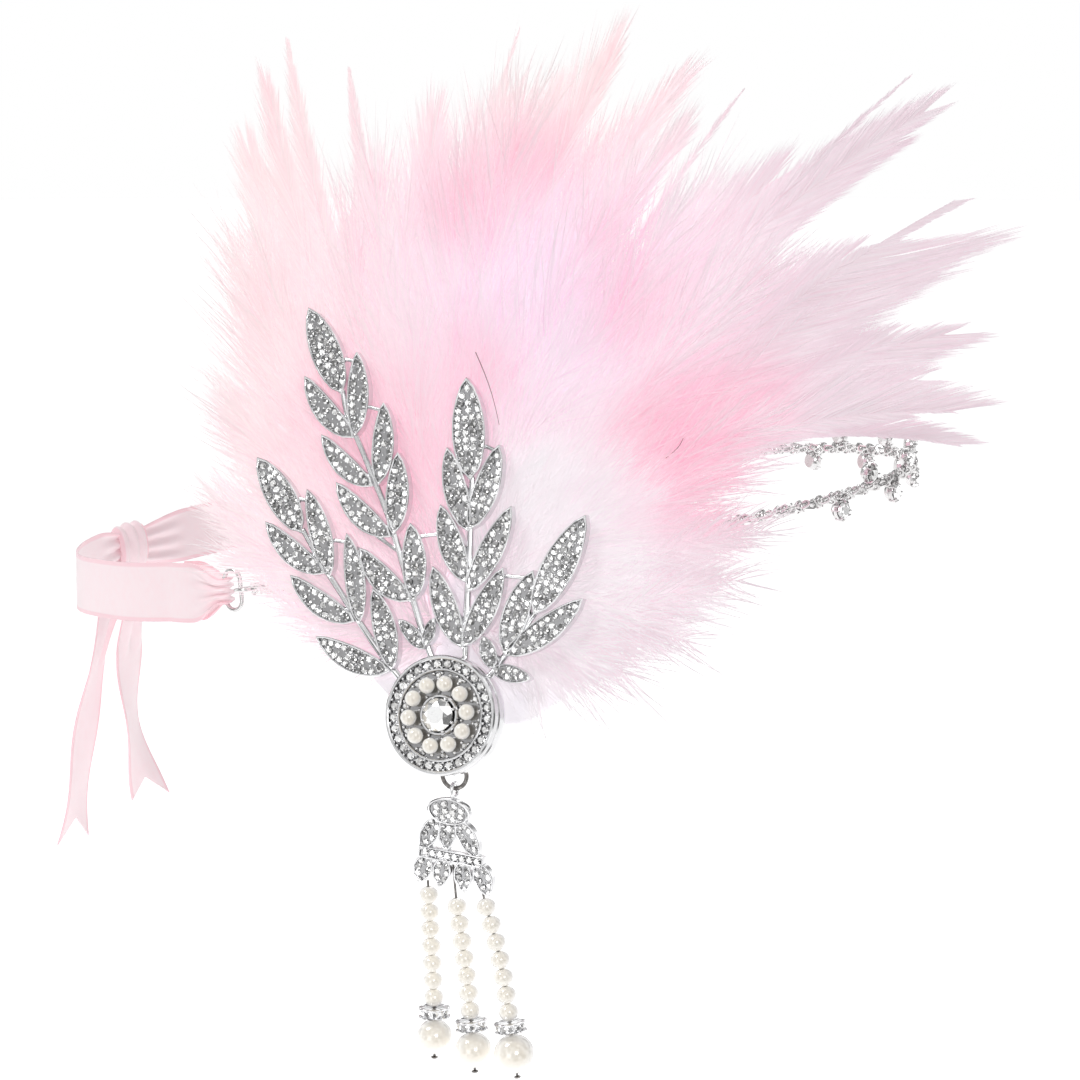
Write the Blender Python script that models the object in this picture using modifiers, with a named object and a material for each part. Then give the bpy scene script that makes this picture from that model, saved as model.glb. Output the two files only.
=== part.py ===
"""Feather headband: a rope chain and satin ribbons round the head, a feather plume and a
pierced stone-set leaf brooch at its right side, and a pearl drop that hangs from the brooch.

Metres, +Z up. -Y is the front of the head, -X its right side, and the origin is the middle
of the band's loop. Tables are in millimetres and degrees, and MM turns them into metres.
"""
import math

import bmesh
import bpy
from mathutils import Matrix, Vector

MM = 0.001
GAP = 0.0003

# Band loop: half length front to back, half width, and the slope of its plane
BAND_HALF_LENGTH = 0.0968
BAND_HALF_WIDTH = 0.0774
FRONT_RISE = 0.140
RIGHT_DROP = 0.079

# Brooch frame: u runs to the front, v up the spray, w out of the medallion's face
BROOCH_CENTRE = Vector((-0.0921, -0.0471, -0.0268))
BROOCH_TURN = math.radians(8.0)
BROOCH_LEAN = math.radians(12.0)

# Medallion
MEDALLION_RADIUS = 0.0120
MEDALLION_DEPTH = 0.0044
MEDALLION_STEPS = 24
MEDALLION_PEARLS = 10
MEDALLION_PEARL_RADIUS = 0.0015
MEDALLION_PEARL_CIRCLE = 0.0063
CENTRE_STONE_RADIUS = 0.0033

# Leaf spray casting
LEAF_BACK = -0.0052
LEAF_DEPTH = 0.0022
LEAF_RIM = 0.00050
LEAF_BED = 0.00060
LEAF_STATIONS = 3
STEM_RADIUS = 0.00075
STRUT_RADIUS = 0.00045
HUB_RADIUS = 0.0118
HUB_BACK = -0.0058
HUB_FRONT = -0.0047
EYELET_U = 0.0008
EYELET_V = -0.0081
EYELET_W = -0.0075
EYELET_RADIUS = 0.0021
EYELET_WIRE = 0.00045

# Feathers and the pad they are glued to
PAD_BACK = -0.0120
PAD_THICKNESS = 0.0020
PLUME_ROOT = Vector((0.000, 0.016, -0.0076))
PLUME_ROOT_SIZE = (0.016, 0.0125, 0.0017)
PLUME_DEPTH = 0.012
LOCK_STATIONS = (0.0, 0.25, 0.5, 0.8, 1.0)
LOCK_BOW = 0.7
FLUFF_FLATNESS = 0.50
FLUFF_START = 0.16
FLUFF_SWELL = (0.22, 0.62, 1.0, 0.85, 0.25)
BLADE_FLATNESS = 0.28
BLADE_START = 0.45
BLADE_SWELL = (0.7, 1.0, 1.0, 0.65, 0.06)

# Pearl drop
JUMP_RING_RADIUS = 0.00265
RING_LINK_WIRE = 0.00045
DROP_LOOP_RADIUS = 0.0015
DROP_LOOP_WIRE = 0.0004
BEAD_RADIUS = 0.0020
BEAD_HALF_LENGTH = 0.00157
BORE_RADIUS = 0.00056
PIN_RADIUS = 0.00025
PIN_HEAD_DEPTH = 0.0003
RONDELLE_RADIUS = 0.00325
RONDELLE_HALF_LENGTH = 0.0011
CASTING_BACK = -0.0009
CASTING_DEPTH = 0.0018
DROP_TILT = math.radians(-5.4)
DROP_BAR_PLACE = (-0.0005, -0.0165, 0.0)
DROP_BAR_SIZE = (0.0142, 0.0024, 0.00212)
OVAL_PLACE = (-0.0010, -0.0073, 0.0)
OVAL_RADIUS = 0.0027
OVAL_STRETCH = 1.75
OVAL_FRONT = 0.00108
OVAL_BACK = -0.00083
OVAL_STONE_RADIUS = 0.0016
OVAL_STONE_SHIFT = 0.0020

# Chain and ribbon
CHAIN_RADIUS = 0.00135
CHAIN_STANDOFF = 0.0016
CHAIN_POINTS = 37
LEAD_POINTS = 6
LEAD_HANDLE = 0.006
NEAR_CHAIN_POINTS = 10
CHAIN_MEETS_BAND = math.radians(34.0)
FRONT_CHAIN_SEAT = (21.0, 37.0)
NEAR_CHAIN_SEAT = (-21.0, 24.5)
CHAIN_STONES = 12
CHAIN_STONE_PITCH = 0.0105
CHAIN_STONE_START = math.radians(11.5)
CHAIN_STONE_OFFSET = 0.0029
CUP_RADIUS = 0.00215
NEAR_RING_ANGLE = math.radians(97.5)
FAR_RING_ANGLE = math.radians(-97.5)
BAND_RING_HALF_LENGTH = 0.0022
BAND_RING_HALF_HEIGHT = 0.0042
BAND_RING_WIRE = 0.0005
END_LINK_REACH = 0.0032
END_LINK_HALF_LENGTH = 0.0022
END_LINK_HALF_HEIGHT = 0.0018
END_LINK_WIRE = 0.0004
ROPE_END_REACH = 0.0052
RIBBON_WIDTH = 0.0127
RIBBON_THICKNESS = 0.0010
RIBBON_NECK = 0.0052
KNOT_ANGLE = math.pi
KNOT_HALF_WIDTH = 0.0060
KNOT_HEIGHT = 0.0130
KNOT_DEPTH = 0.0064
KNOT_ROUNDING = 0.0022
KNOT_STANDOFF = 0.0030
TAIL_STEPS = 8
TAIL_START_SIDE = 0.0032
TAIL_START_GAP = 0.0006
TAIL_GATHER = 0.62
TAIL_SWAY_TOP = 0.0030
TAIL_SWAY_FOOT = 0.0110
TAIL_BULGE = 0.0035
TAIL_KICK = 0.0060
TAIL_TURN = -0.25
TAIL_TWIST = 0.35
TAIL_NOTCH = 0.0055

# Outline of the felt pad: u, v (mm)
PAD_OUTLINE = [
    (-9.0, -2.0), (14.5, -0.6), (26.5, 9.6), (27.0, 30.0), (20.0, 42.0),
    (-8.0, 42.0), (-24.0, 34.0), (-27.0, 18.0), (-20.0, 6.0)]

# Leaves of each sprig: side, base u and v, tip u and v, width, sideways bend (mm)
SPRIG_LEAVES = {
    "A": [
        ("top", -29.1, 63.5, -38.5, 81.0, 5.6, 0.0),
        ("right", -25.4, 54.8, -26.7, 72.3, 4.1, 0.5),
        ("right", -19.2, 45.2, -19.7, 62.2, 4.1, 0.5),
        ("right", -15.0, 35.3, -15.6, 52.2, 4.3, 0.5),
        ("right", -9.2, 22.4, -11.4, 38.1, 4.5, 0.5),
        ("right", -6.0, 13.4, -4.4, 19.4, 2.3, 0.0),
        ("left", -25.6, 54.6, -38.0, 66.9, 4.1, -1.2),
        ("left", -20.4, 45.0, -33.1, 55.1, 3.8, -1.2),
        ("left", -15.4, 35.0, -28.8, 45.5, 4.1, -1.2),
        ("left", -9.7, 22.4, -22.2, 32.5, 4.3, -1.2),
        ("left", -5.8, 12.9, -12.2, 18.6, 2.6, 0.0),
    ],
    "B": [
        ("top", -35.4, 34.8, -47.2, 49.8, 5.4, 0.0),
        ("right", -28.3, 25.8, -35.2, 43.8, 4.1, 0.5),
        ("right", -20.8, 16.9, -25.4, 35.3, 3.8, 0.5),
        ("right", -12.6, 8.2, -18.5, 24.5, 4.3, 0.5),
        ("left", -29.4, 26.8, -44.0, 36.7, 4.1, -1.2),
        ("left", -21.8, 17.5, -37.3, 26.1, 4.1, -1.2),
        ("left", -13.2, 8.0, -30.3, 14.0, 4.3, -1.0),
    ],
    "C": [
        ("top", 1.0, 47.2, -1.9, 67.9, 6.0, 0.0),
        ("left", 1.4, 36.9, -4.8, 53.7, 4.3, -0.5),
        ("left", 1.9, 26.7, -5.2, 42.1, 4.5, -0.5),
        ("left", 2.2, 13.7, -5.7, 29.7, 4.5, -0.5),
        ("right", 1.6, 37.2, 6.6, 54.7, 4.6, 0.5),
        ("right", 2.2, 24.7, 10.3, 42.6, 4.5, 0.5),
        ("right", 2.3, 13.8, 9.7, 30.3, 4.5, 0.5),
    ],
    "D": [
        ("top", 17.0, 21.2, 26.4, 41.6, 5.9, 0.0),
        ("left", 11.4, 13.0, 16.2, 30.1, 4.7, -0.5),
        ("left", 9.4, 10.0, 6.5, 16.4, 3.0, 0.0),
        ("right", 11.4, 12.8, 27.3, 25.1, 4.5, 0.8),
        ("right", 9.0, 9.9, 17.6, 8.6, 2.9, 0.0),
    ],
}

# Stem of each sprig from its top leaf down to the hub: u, v (mm)
SPRIG_STEMS = {
    "A": [(-29.6, 64.8), (-27.8, 59.2), (-22.8, 50.3), (-16.4, 38.4), (-11.1, 26.0), (-7.4, 17.3),
          (-5.2, 11.8), (-4.6, 10.0)],
    "B": [(-36.2, 36.2), (-31.4, 29.7), (-26.7, 24.1), (-18.1, 14.0), (-11.6, 6.9), (-9.4, 5.4)],
    "C": [(0.9, 48.8), (1.3, 40.9), (1.8, 33.0), (2.3, 20.0), (2.2, 12.9), (2.2, 9.8)],
    "D": [(18.0, 23.2), (13.3, 15.9), (9.0, 10.0), (7.4, 8.0)],
}

# Straight struts that join neighbouring leaves: u, v to u, v (mm)
STRUTS = [
    (-34.2, 71.6, -26.6, 70.2),
    (-26.2, 61.8, -19.6, 60.4),
    (-24.4, 38.2, -12.6, 31.4),
    (-11.2, 35.2, -3.9, 36.4),
    (-40.6, 42.2, -34.4, 41.4),
    (-31.0, 34.0, -25.0, 33.4),
    (-25.2, 33.6, -21.4, 31.2),
    (-0.2, 55.6, 6.2, 53.2),
    (9.6, 28.6, 15.8, 28.4),
]

# Soft inner locks: angle (degrees), reach, half width, depth half way, depth at the tip (mm)
FLUFF_LOCKS = [
    (-84, 48, 5.5, -8.5, -9.0),
    (-76, 64, 7.0, -8.5, -7.0),
    (-66, 73, 7.5, -8.5, -10.0),
    (-55, 82, 8.5, -11.5, -8.0),
    (-44, 95, 9.5, -11.5, -13.0),
    (-35, 107, 9.5, -11.5, -8.0),
    (-26, 110, 9.0, -11.5, -14.0),
    (-17, 105, 9.0, -11.5, -6.0),
    (-8, 114, 9.0, -11.5, -13.0),
    (1, 119, 9.5, -11.5, -5.0),
    (10, 117, 9.5, -11.5, -12.0),
    (19, 107, 9.5, -11.5, -4.0),
    (28, 109, 9.5, -11.5, -12.0),
    (37, 103, 9.0, -11.5, -5.0),
    (46, 94, 9.0, -10.5, -12.0),
    (55, 86, 8.5, -10.5, -6.0),
    (64, 71, 8.0, -9.5, -10.0),
    (73, 62, 7.0, -9.5, -6.0),
    (83, 53, 6.0, -9.5, -9.0),
    (93, 42, 5.0, -9.5, -7.0),
    (104, 27, 3.5, -9.5, -8.0),
]

# Pointed outer tips: angle (degrees), reach, half width, depth half way, depth at the tip (mm)
BLADE_LOCKS = [
    (-37, 112, 4.5, -11.5, -9.0),
    (-30, 127, 5.0, -11.5, -12.0),
    (-24, 139, 5.0, -11.5, -8.0),
    (-18.7, 130, 4.0, -11.5, -12.0),
    (-8.6, 122, 4.5, -11.5, -6.0),
    (-0.7, 131, 3.0, -11.5, -10.0),
    (9.6, 130, 5.0, -11.5, -6.0),
    (16.5, 128, 4.5, -11.5, -11.0),
    (24.3, 128, 3.0, -11.5, -6.0),
    (34.9, 126, 3.0, -11.5, -9.0),
    (38.4, 147, 5.5, -11.5, -5.0),
    (44.3, 112, 3.5, -11.5, -9.0),
    (47.4, 134, 5.5, -10.5, -6.0),
    (55.5, 122, 5.5, -10.5, -9.0),
    (64.2, 113, 4.5, -9.5, -5.0),
    (68.5, 110, 3.5, -9.5, -9.0),
]

# Drop casting leaves in the drop's frame: base u and z, tip u and z, width (mm)
DROP_LEAVES = [
    (-3.2, -8.6, -7.2, -15.6, 3.6),
    (-0.9, -7.6, -1.7, -15.6, 3.6),
    (0.8, -8.8, 5.6, -16.4, 3.7),
    (-5.6, -16.4, -7.8, -22.4, 3.8),
    (-2.0, -16.6, -3.1, -23.0, 3.6),
    (1.8, -17.0, 2.5, -23.6, 3.6),
    (5.2, -17.2, 7.9, -23.9, 3.7),
]

# Pearl strands: pin top u and z, top bead u and z, bottom bead u and z, bow, large pearl u, radius (mm)
STRANDS = [
    (-5.9, -21.9, -5.75, -24.9, -4.65, -45.9, 0.0, -4.9, 3.65),
    (-0.3, -18.2, 0.5, -26.7, 3.4, -47.7, 0.2, 3.9, 3.75),
    (6.2, -23.3, 6.9, -26.2, 11.8, -47.2, 0.6, 13.2, 4.10),
]
STRAND_BEADS = 7
PEARL_SEAT = 0.0003

# Hanging ribbon tails: name, side, length, set back (mm)
RIBBON_TAILS = [
    ("ribbon_tail_a", -1, 62.0, 0.9),
    ("ribbon_tail_b", 1, 56.0, -0.9),
]


def clear_scene():
    """Remove whatever objects the file opened with."""
    for old in list(bpy.data.objects):
        bpy.data.objects.remove(old, do_unlink=True)


def make_collection(name):
    """Add a collection under the scene and return it."""
    found = bpy.data.collections.new(name)
    bpy.context.scene.collection.children.link(found)
    return found


def make_material(name, colour, roughness, metallic):
    """Principled material of one piece."""
    made = bpy.data.materials.new(name)
    made.use_nodes = True
    shader = made.node_tree.nodes["Principled BSDF"]
    shader.inputs["Base Color"].default_value = (*colour, 1.0)
    shader.inputs["Roughness"].default_value = roughness
    shader.inputs["Metallic"].default_value = metallic
    made.diffuse_color = (*colour, 1.0)
    return made


def band_point(angle, standoff=0.0, rise=0.0):
    """Point on the band loop: angle 0 is the forehead and 90 degrees the right side."""
    across = BAND_HALF_WIDTH + standoff
    along = BAND_HALF_LENGTH + standoff
    height = FRONT_RISE * along * math.cos(angle) - RIGHT_DROP * across * math.sin(angle)
    return Vector((-across * math.sin(angle), -along * math.cos(angle), height + rise))


def angle_of(distance, angle):
    """Angle that moves a point this distance along the band, near an angle."""
    speed = Vector((BAND_HALF_WIDTH * math.cos(angle), BAND_HALF_LENGTH * math.sin(angle))).length
    return distance / speed


def band_axes(angle):
    """Forward, outward and upward directions of the band at an angle."""
    step = 0.01
    forward = (band_point(angle - step) - band_point(angle + step)).normalized()
    outward = Vector((-math.sin(angle) / BAND_HALF_WIDTH, -math.cos(angle) / BAND_HALF_LENGTH, 0.0))
    outward = (outward - forward * outward.dot(forward)).normalized()
    upward = outward.cross(forward)
    if upward.z < 0.0:
        upward = -upward
    return forward, outward, upward


def brooch_matrix():
    """Frame of the brooch, with its face along w."""
    turn = BROOCH_TURN
    lean = BROOCH_LEAN
    normal = Vector((-math.cos(turn) * math.cos(lean), -math.sin(turn) * math.cos(lean), math.sin(lean)))
    return frame_matrix(normal, BROOCH_CENTRE)


def drop_matrix():
    """Frame of the hanging drop: upright, with its origin in the middle of the jump ring."""
    turn = BROOCH_TURN
    normal = Vector((-math.cos(turn), -math.sin(turn), 0.0))
    return frame_matrix(normal, drop_pivot() - Vector((0.0, 0.0, JUMP_RING_RADIUS)))


def frame_matrix(normal, centre):
    """Matrix whose third axis is the normal and whose first axis is level."""
    across = Vector((0.0, 0.0, 1.0)).cross(normal).normalized()
    up = normal.cross(across)
    turned = Matrix((across, up, normal)).transposed().to_4x4()
    return Matrix.Translation(centre) @ turned


def drop_pivot():
    """Middle of the jump ring's wire where it hangs in the eyelet."""
    seat = EYELET_RADIUS - EYELET_WIRE - GAP - RING_LINK_WIRE
    return brooch_matrix() @ Vector((EYELET_U, EYELET_V - seat, EYELET_W))


def link_object(name, mesh, material, collection, matrix=None):
    """Add an object with this mesh, its place put into matrix_world."""
    made = bpy.data.objects.new(name, mesh)
    collection.objects.link(made)
    if matrix is not None:
        made.matrix_world = matrix
    mesh.materials.clear()
    mesh.materials.append(material)
    return made


def smooth(thing, angle=40.0):
    """Shade a round piece smooth, keeping its sharp edges."""
    thing.data.shade_smooth()
    thing.data.set_sharp_from_angle(angle=math.radians(angle))


def mesh_from_bmesh(name, bm):
    """Turn a bmesh into a mesh with outward faces."""
    bmesh.ops.recalc_face_normals(bm, faces=bm.faces)
    mesh = bpy.data.meshes.new(name)
    bm.to_mesh(mesh)
    bm.free()
    return mesh


def tube_mesh(name, points, radii, resolution, closed=False, matrix=None):
    """Mesh of a round wire through points, with filled and welded caps."""
    curve = bpy.data.curves.new(name, "CURVE")
    curve.dimensions = "3D"
    curve.bevel_depth = 1.0
    curve.bevel_resolution = resolution
    curve.use_fill_caps = not closed
    add_spline(curve, points, radii, closed)
    return mesh_from_curve(name, curve, matrix)


def add_spline(curve, points, radii, closed=False):
    """Add one straight-sided spline whose points carry their own radius."""
    spline = curve.splines.new("POLY")
    spline.points.add(len(points) - 1)
    for index, place in enumerate(points):
        spline.points[index].co = (*place, 1.0)
        spline.points[index].radius = radii[index]
    spline.use_cyclic_u = closed


def mesh_from_curve(name, curve, matrix=None):
    """Evaluate a curve as a mesh, weld its caps and remove the curve."""
    holder = bpy.data.objects.new(name + "_curve", curve)
    bpy.context.scene.collection.objects.link(holder)
    bpy.context.view_layer.update()
    graph = bpy.context.evaluated_depsgraph_get()
    mesh = bpy.data.meshes.new_from_object(holder.evaluated_get(graph))
    bpy.data.objects.remove(holder, do_unlink=True)
    bm = bmesh.new()
    bm.from_mesh(mesh)
    bmesh.ops.remove_doubles(bm, verts=bm.verts, dist=0.000001)
    if matrix is not None:
        bmesh.ops.transform(bm, matrix=matrix, verts=bm.verts)
    bmesh.ops.recalc_face_normals(bm, faces=bm.faces)
    bm.to_mesh(mesh)
    bm.free()
    return mesh


def join_meshes(name, meshes):
    """Put several meshes into one, without joining their surfaces."""
    bm = bmesh.new()
    for mesh in meshes:
        bm.from_mesh(mesh)
    joined = bpy.data.meshes.new(name)
    bm.to_mesh(joined)
    bm.free()
    return joined


def fuse(name, base, additions, collection, cutters, material):
    """One solid from a base mesh and overlapping additions."""
    body = link_object(name, base, material, collection)
    extra = link_object(name + "_additions", join_meshes(name + "_additions", additions), material, cutters)
    hide_cutter(extra)
    union = body.modifiers.new("fuse", "BOOLEAN")
    union.operation = "UNION"
    union.solver = "EXACT"
    union.use_self = True
    union.object = extra
    return body


def hide_cutter(thing):
    """Show a cutter or guide as wire and keep it out of the model."""
    thing.hide_render = True
    thing.display_type = "WIRE"


def turned_mesh(name, profile, steps):
    """Closed turned mesh about local Z from an (r, z) profile that starts and ends on the axis."""
    bm = bmesh.new()
    places = [bm.verts.new((r, 0.0, z)) for r, z in profile]
    edges = [bm.edges.new(pair) for pair in zip(places, places[1:])]
    bmesh.ops.spin(
        bm, geom=places + edges, cent=(0, 0, 0), axis=(0, 0, 1), angle=2 * math.pi, steps=steps,
        use_merge=True, use_duplicate=False)
    bmesh.ops.remove_doubles(bm, verts=bm.verts, dist=0.000001)
    return mesh_from_bmesh(name, bm)


def lathe_object(name, profile, steps, material, collection, matrix):
    """Turned piece as a profile with a Screw modifier, which runs down its outer side."""
    mesh = bpy.data.meshes.new(name)
    count = len(profile)
    closed = profile[0][0] > 0.0
    edges = [(index, index + 1) for index in range(count - 1)]
    if closed:
        edges.append((count - 1, 0))
    mesh.from_pydata([(r, 0.0, z) for r, z in profile], edges, [])
    made = link_object(name, mesh, material, collection, matrix)
    screw = made.modifiers.new("turn", "SCREW")
    screw.steps = steps
    screw.render_steps = steps
    screw.use_merge_vertices = True
    screw.merge_threshold = 0.000001
    return made


def ring_mesh(name, half_length, half_height, wire, segments, sides, matrix):
    """Link of round wire in the local XY plane: a circle, drawn out along Y where it is taller."""
    points = []
    straight = half_height - half_length
    for index in range(segments):
        turn = 2 * math.pi * (index + 0.5) / segments
        y = half_length * math.sin(turn) + math.copysign(straight, math.sin(turn))
        points.append(Vector((half_length * math.cos(turn), y, 0.0)))
    resolution = max(0, (sides - 4) // 2)
    return tube_mesh(name, points, [wire] * segments, resolution, closed=True, matrix=matrix)


def leaf_mesh(name, base, tip, width, bend, back, depth, rim, bed, matrix):
    """Cupped leaf: a pointed outline with a raised rim round a sunken bed."""
    base = Vector(base)
    tip = Vector(tip)
    along = tip - base
    side = Vector((along.y, -along.x)).normalized()
    outline = [base]
    stations = [(index + 1) / (LEAF_STATIONS + 1) for index in range(LEAF_STATIONS)]
    for sign, order in ((1.0, stations), (-1.0, stations[::-1])):
        if sign < 0.0:
            outline.append(tip)
        for s in order:
            swell = 0.5 * width * math.sin(math.pi * s ** 0.9) ** 0.75
            shift = 4.0 * bend * s * (1.0 - s)
            outline.append(base + along * s + side * (sign * swell + shift))
    bm = bmesh.new()
    corners = [bm.verts.new((p.x, p.y, back)) for p in outline]
    floor = bm.faces.new(corners)
    raised = bmesh.ops.extrude_face_region(bm, geom=[floor])
    top = [piece for piece in raised["geom"] if isinstance(piece, bmesh.types.BMFace)]
    lifted = [piece for piece in raised["geom"] if isinstance(piece, bmesh.types.BMVert)]
    bmesh.ops.translate(bm, vec=(0.0, 0.0, depth), verts=lifted)
    bmesh.ops.inset_individual(bm, faces=top, thickness=rim, use_even_offset=True)
    bmesh.ops.translate(bm, vec=(0.0, 0.0, -bed), verts=top[0].verts)
    bmesh.ops.transform(bm, matrix=matrix, verts=bm.verts)
    return mesh_from_bmesh(name, bm)


def stone_mesh(name, radius, sides, matrix, crown=0.45, skirt=0.5, table=0.55):
    """Cut stone: a flat table, a ring of crown facets and a tapered skirt below the girdle."""
    bm = bmesh.new()
    upper = Matrix.Translation((0.0, 0.0, 0.5 * crown * radius))
    bmesh.ops.create_cone(
        bm, cap_ends=True, segments=sides, radius1=radius, radius2=table * radius,
        depth=crown * radius, matrix=upper)
    girdle = [face for face in bm.faces if face.normal.z < -0.9]
    bottom = bmesh.ops.extrude_face_region(bm, geom=girdle)
    lowered = [piece for piece in bottom["geom"] if isinstance(piece, bmesh.types.BMVert)]
    bmesh.ops.delete(bm, geom=girdle, context="FACES")
    bmesh.ops.scale(bm, vec=(0.6, 0.6, 1.0), verts=lowered)
    bmesh.ops.translate(bm, vec=(0.0, 0.0, -skirt * radius), verts=lowered)
    bmesh.ops.transform(bm, matrix=matrix, verts=bm.verts)
    return mesh_from_bmesh(name, bm)


def bead_profile(radius, half_length, bore, points):
    """Drilled bead, from the top of its hole down the outside and back up the bore."""
    reach = math.sqrt(1.0 - (bore / radius) ** 2) * half_length
    start = math.acos(min(1.0, reach / half_length))
    profile = []
    for index in range(points):
        turn = start + (math.pi - 2.0 * start) * index / (points - 1)
        profile.append((radius * math.sin(turn), half_length * math.cos(turn)))
    return profile


def aim_matrix(place, axis):
    """Matrix that puts local Z along an axis at a place."""
    turned = Vector((0.0, 0.0, 1.0)).rotation_difference(axis.normalized()).to_matrix().to_4x4()
    return Matrix.Translation(place) @ turned


def pad_mesh(name, scale, back, front, matrix):
    """Flat fan between two heights in the brooch frame, its outline scaled about its middle."""
    curve = bpy.data.curves.new(name, "CURVE")
    curve.dimensions = "2D"
    curve.fill_mode = "BOTH"
    curve.extrude = 0.5 * (front - back)
    middle = Vector((0.0, 20.0))
    spline = curve.splines.new("POLY")
    spline.points.add(len(PAD_OUTLINE) - 1)
    for index, corner in enumerate(PAD_OUTLINE):
        u, v = middle + (Vector(corner) - middle) * scale
        spline.points[index].co = (u * MM, v * MM, 0.0, 1.0)
    spline.use_cyclic_u = True
    return mesh_from_curve(name, curve, matrix @ Matrix.Translation((0.0, 0.0, 0.5 * (front + back))))


def build_pad(parts, matrix):
    """Felt fan that carries the feathers and the brooch."""
    mesh = pad_mesh("backing_pad", 1.0, PAD_BACK, PAD_BACK + PAD_THICKNESS, matrix)
    felt = make_material("white_felt", (0.85, 0.82, 0.88), 0.9, 0.0)
    return link_object("backing_pad", mesh, felt, parts)


def lock_line(row, start, bow):
    """Middle line of one lock in the brooch frame, from the root outwards."""
    angle, reach, half_width, middle, tip = row
    turn = math.radians(angle)
    outward = Vector((math.sin(turn), math.cos(turn), 0.0))
    sideways = Vector((math.cos(turn), -math.sin(turn), 0.0))
    line = []
    for part in LOCK_STATIONS:
        s = start + part * (1.0 - start)
        if s < 0.5:
            w = PLUME_ROOT.z + (middle * MM - PLUME_ROOT.z) * (2.0 * s) ** 1.6
        else:
            w = (middle + (tip - middle) * (2.0 * s - 1.0) ** 1.3) * MM
        place = PLUME_ROOT + outward * (reach * MM * s) + sideways * (bow * half_width * MM * s * (1.0 - s))
        line.append((place.x, place.y, w))
    return line


def lock_group(name, rows, flatness, start, swell, resolution):
    """Mesh of flattened tapering locks, each a tube through its own line."""
    curve = bpy.data.curves.new(name, "CURVE")
    curve.dimensions = "3D"
    curve.bevel_depth = 1.0
    curve.bevel_resolution = resolution
    curve.use_fill_caps = True
    for index, row in enumerate(rows):
        sign = 1.0 if index % 2 else -1.0
        raised = [Vector((x, y, z / flatness)) for x, y, z in lock_line(row, start, sign * LOCK_BOW)]
        half_width = row[2] * MM
        add_spline(curve, raised, [half_width * part for part in swell])
    return mesh_from_curve(name, curve, Matrix.Diagonal((1.0, 1.0, flatness, 1.0)))


def build_plume(parts, cutters, matrix):
    """Feather plume: soft locks and pointed tips fused to a flat root."""
    bm = bmesh.new()
    place = Matrix.Translation(PLUME_ROOT) @ Matrix.Diagonal((*PLUME_ROOT_SIZE, 1.0))
    bmesh.ops.create_uvsphere(bm, u_segments=16, v_segments=8, radius=1.0, matrix=place)
    root = mesh_from_bmesh("plume_root", bm)
    fluff = lock_group("plume_fluff", FLUFF_LOCKS, FLUFF_FLATNESS, FLUFF_START, FLUFF_SWELL, 1)
    blades = lock_group("plume_blades", BLADE_LOCKS, BLADE_FLATNESS, BLADE_START, BLADE_SWELL, 0)
    for mesh in (root, fluff, blades):
        mesh.transform(matrix)
    feather = make_material("pink_feather", (0.94, 0.72, 0.80), 0.85, 0.0)
    plume = fuse("feather_plume", root, [fluff, blades], parts, cutters, feather)
    pad_front = PAD_BACK + PAD_THICKNESS + GAP
    room = pad_mesh("pad_room", 1.03, PAD_BACK - PLUME_DEPTH, pad_front, matrix)
    cutter = link_object("pad_room", room, feather, cutters)
    hide_cutter(cutter)
    cut = plume.modifiers.new("clear_of_pad", "BOOLEAN")
    cut.operation = "DIFFERENCE"
    cut.solver = "EXACT"
    cut.object = cutter
    return plume


def build_spray(parts, cutters, matrix):
    """Pierced leaf spray: rimmed leaves on four stems, struts, hub plate and eyelet."""
    pieces = []
    lift = {"top": 0.00010, "left": 0.0, "right": 0.00005}
    for sprig, rows in SPRIG_LEAVES.items():
        for index, (side, bu, bv, tu, tv, width, bend) in enumerate(rows):
            rim = LEAF_RIM if width > 3.2 else 0.7 * LEAF_RIM
            pieces.append(leaf_mesh(
                f"leaf_{sprig}_{index}", (bu * MM, bv * MM), (tu * MM, tv * MM), width * MM, bend * MM,
                LEAF_BACK + lift[side], LEAF_DEPTH, rim, LEAF_BED, matrix))
    middle = LEAF_BACK + 0.5 * LEAF_DEPTH
    for sprig, stem in SPRIG_STEMS.items():
        heights = [middle] * (len(stem) - 2) + [HUB_FRONT - STEM_RADIUS * 0.72] * 2
        line = [Vector((u * MM, v * MM, w)) for (u, v), w in zip(stem, heights)]
        radii = [STEM_RADIUS] * (len(stem) - 2) + [0.7 * STEM_RADIUS] * 2
        pieces.append(tube_mesh(f"stem_{sprig}", line, radii, 1, matrix=matrix))
    for index, (u0, v0, u1, v1) in enumerate(STRUTS):
        ends = [Vector((u0 * MM, v0 * MM, middle)), Vector((u1 * MM, v1 * MM, middle))]
        pieces.append(tube_mesh(f"strut_{index}", ends, [STRUT_RADIUS] * 2, 1, matrix=matrix))
    eyelet_place = Matrix.Translation((EYELET_U, EYELET_V, EYELET_W))
    eyelet_turn = Matrix.Rotation(math.radians(90.0), 4, "Y")
    pieces.append(ring_mesh(
        "eyelet", EYELET_RADIUS, EYELET_RADIUS, EYELET_WIRE, 12, 6, matrix @ eyelet_place @ eyelet_turn))
    hub_profile = [(0.0, HUB_FRONT), (HUB_RADIUS, HUB_FRONT), (HUB_RADIUS, HUB_BACK), (0.0, HUB_BACK)]
    hub = turned_mesh("hub", hub_profile, MEDALLION_STEPS)
    hub.transform(matrix)
    silver = make_material("bright_silver", (0.80, 0.80, 0.82), 0.22, 1.0)
    return fuse("leaf_spray", hub, pieces, parts, cutters, silver)


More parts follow.
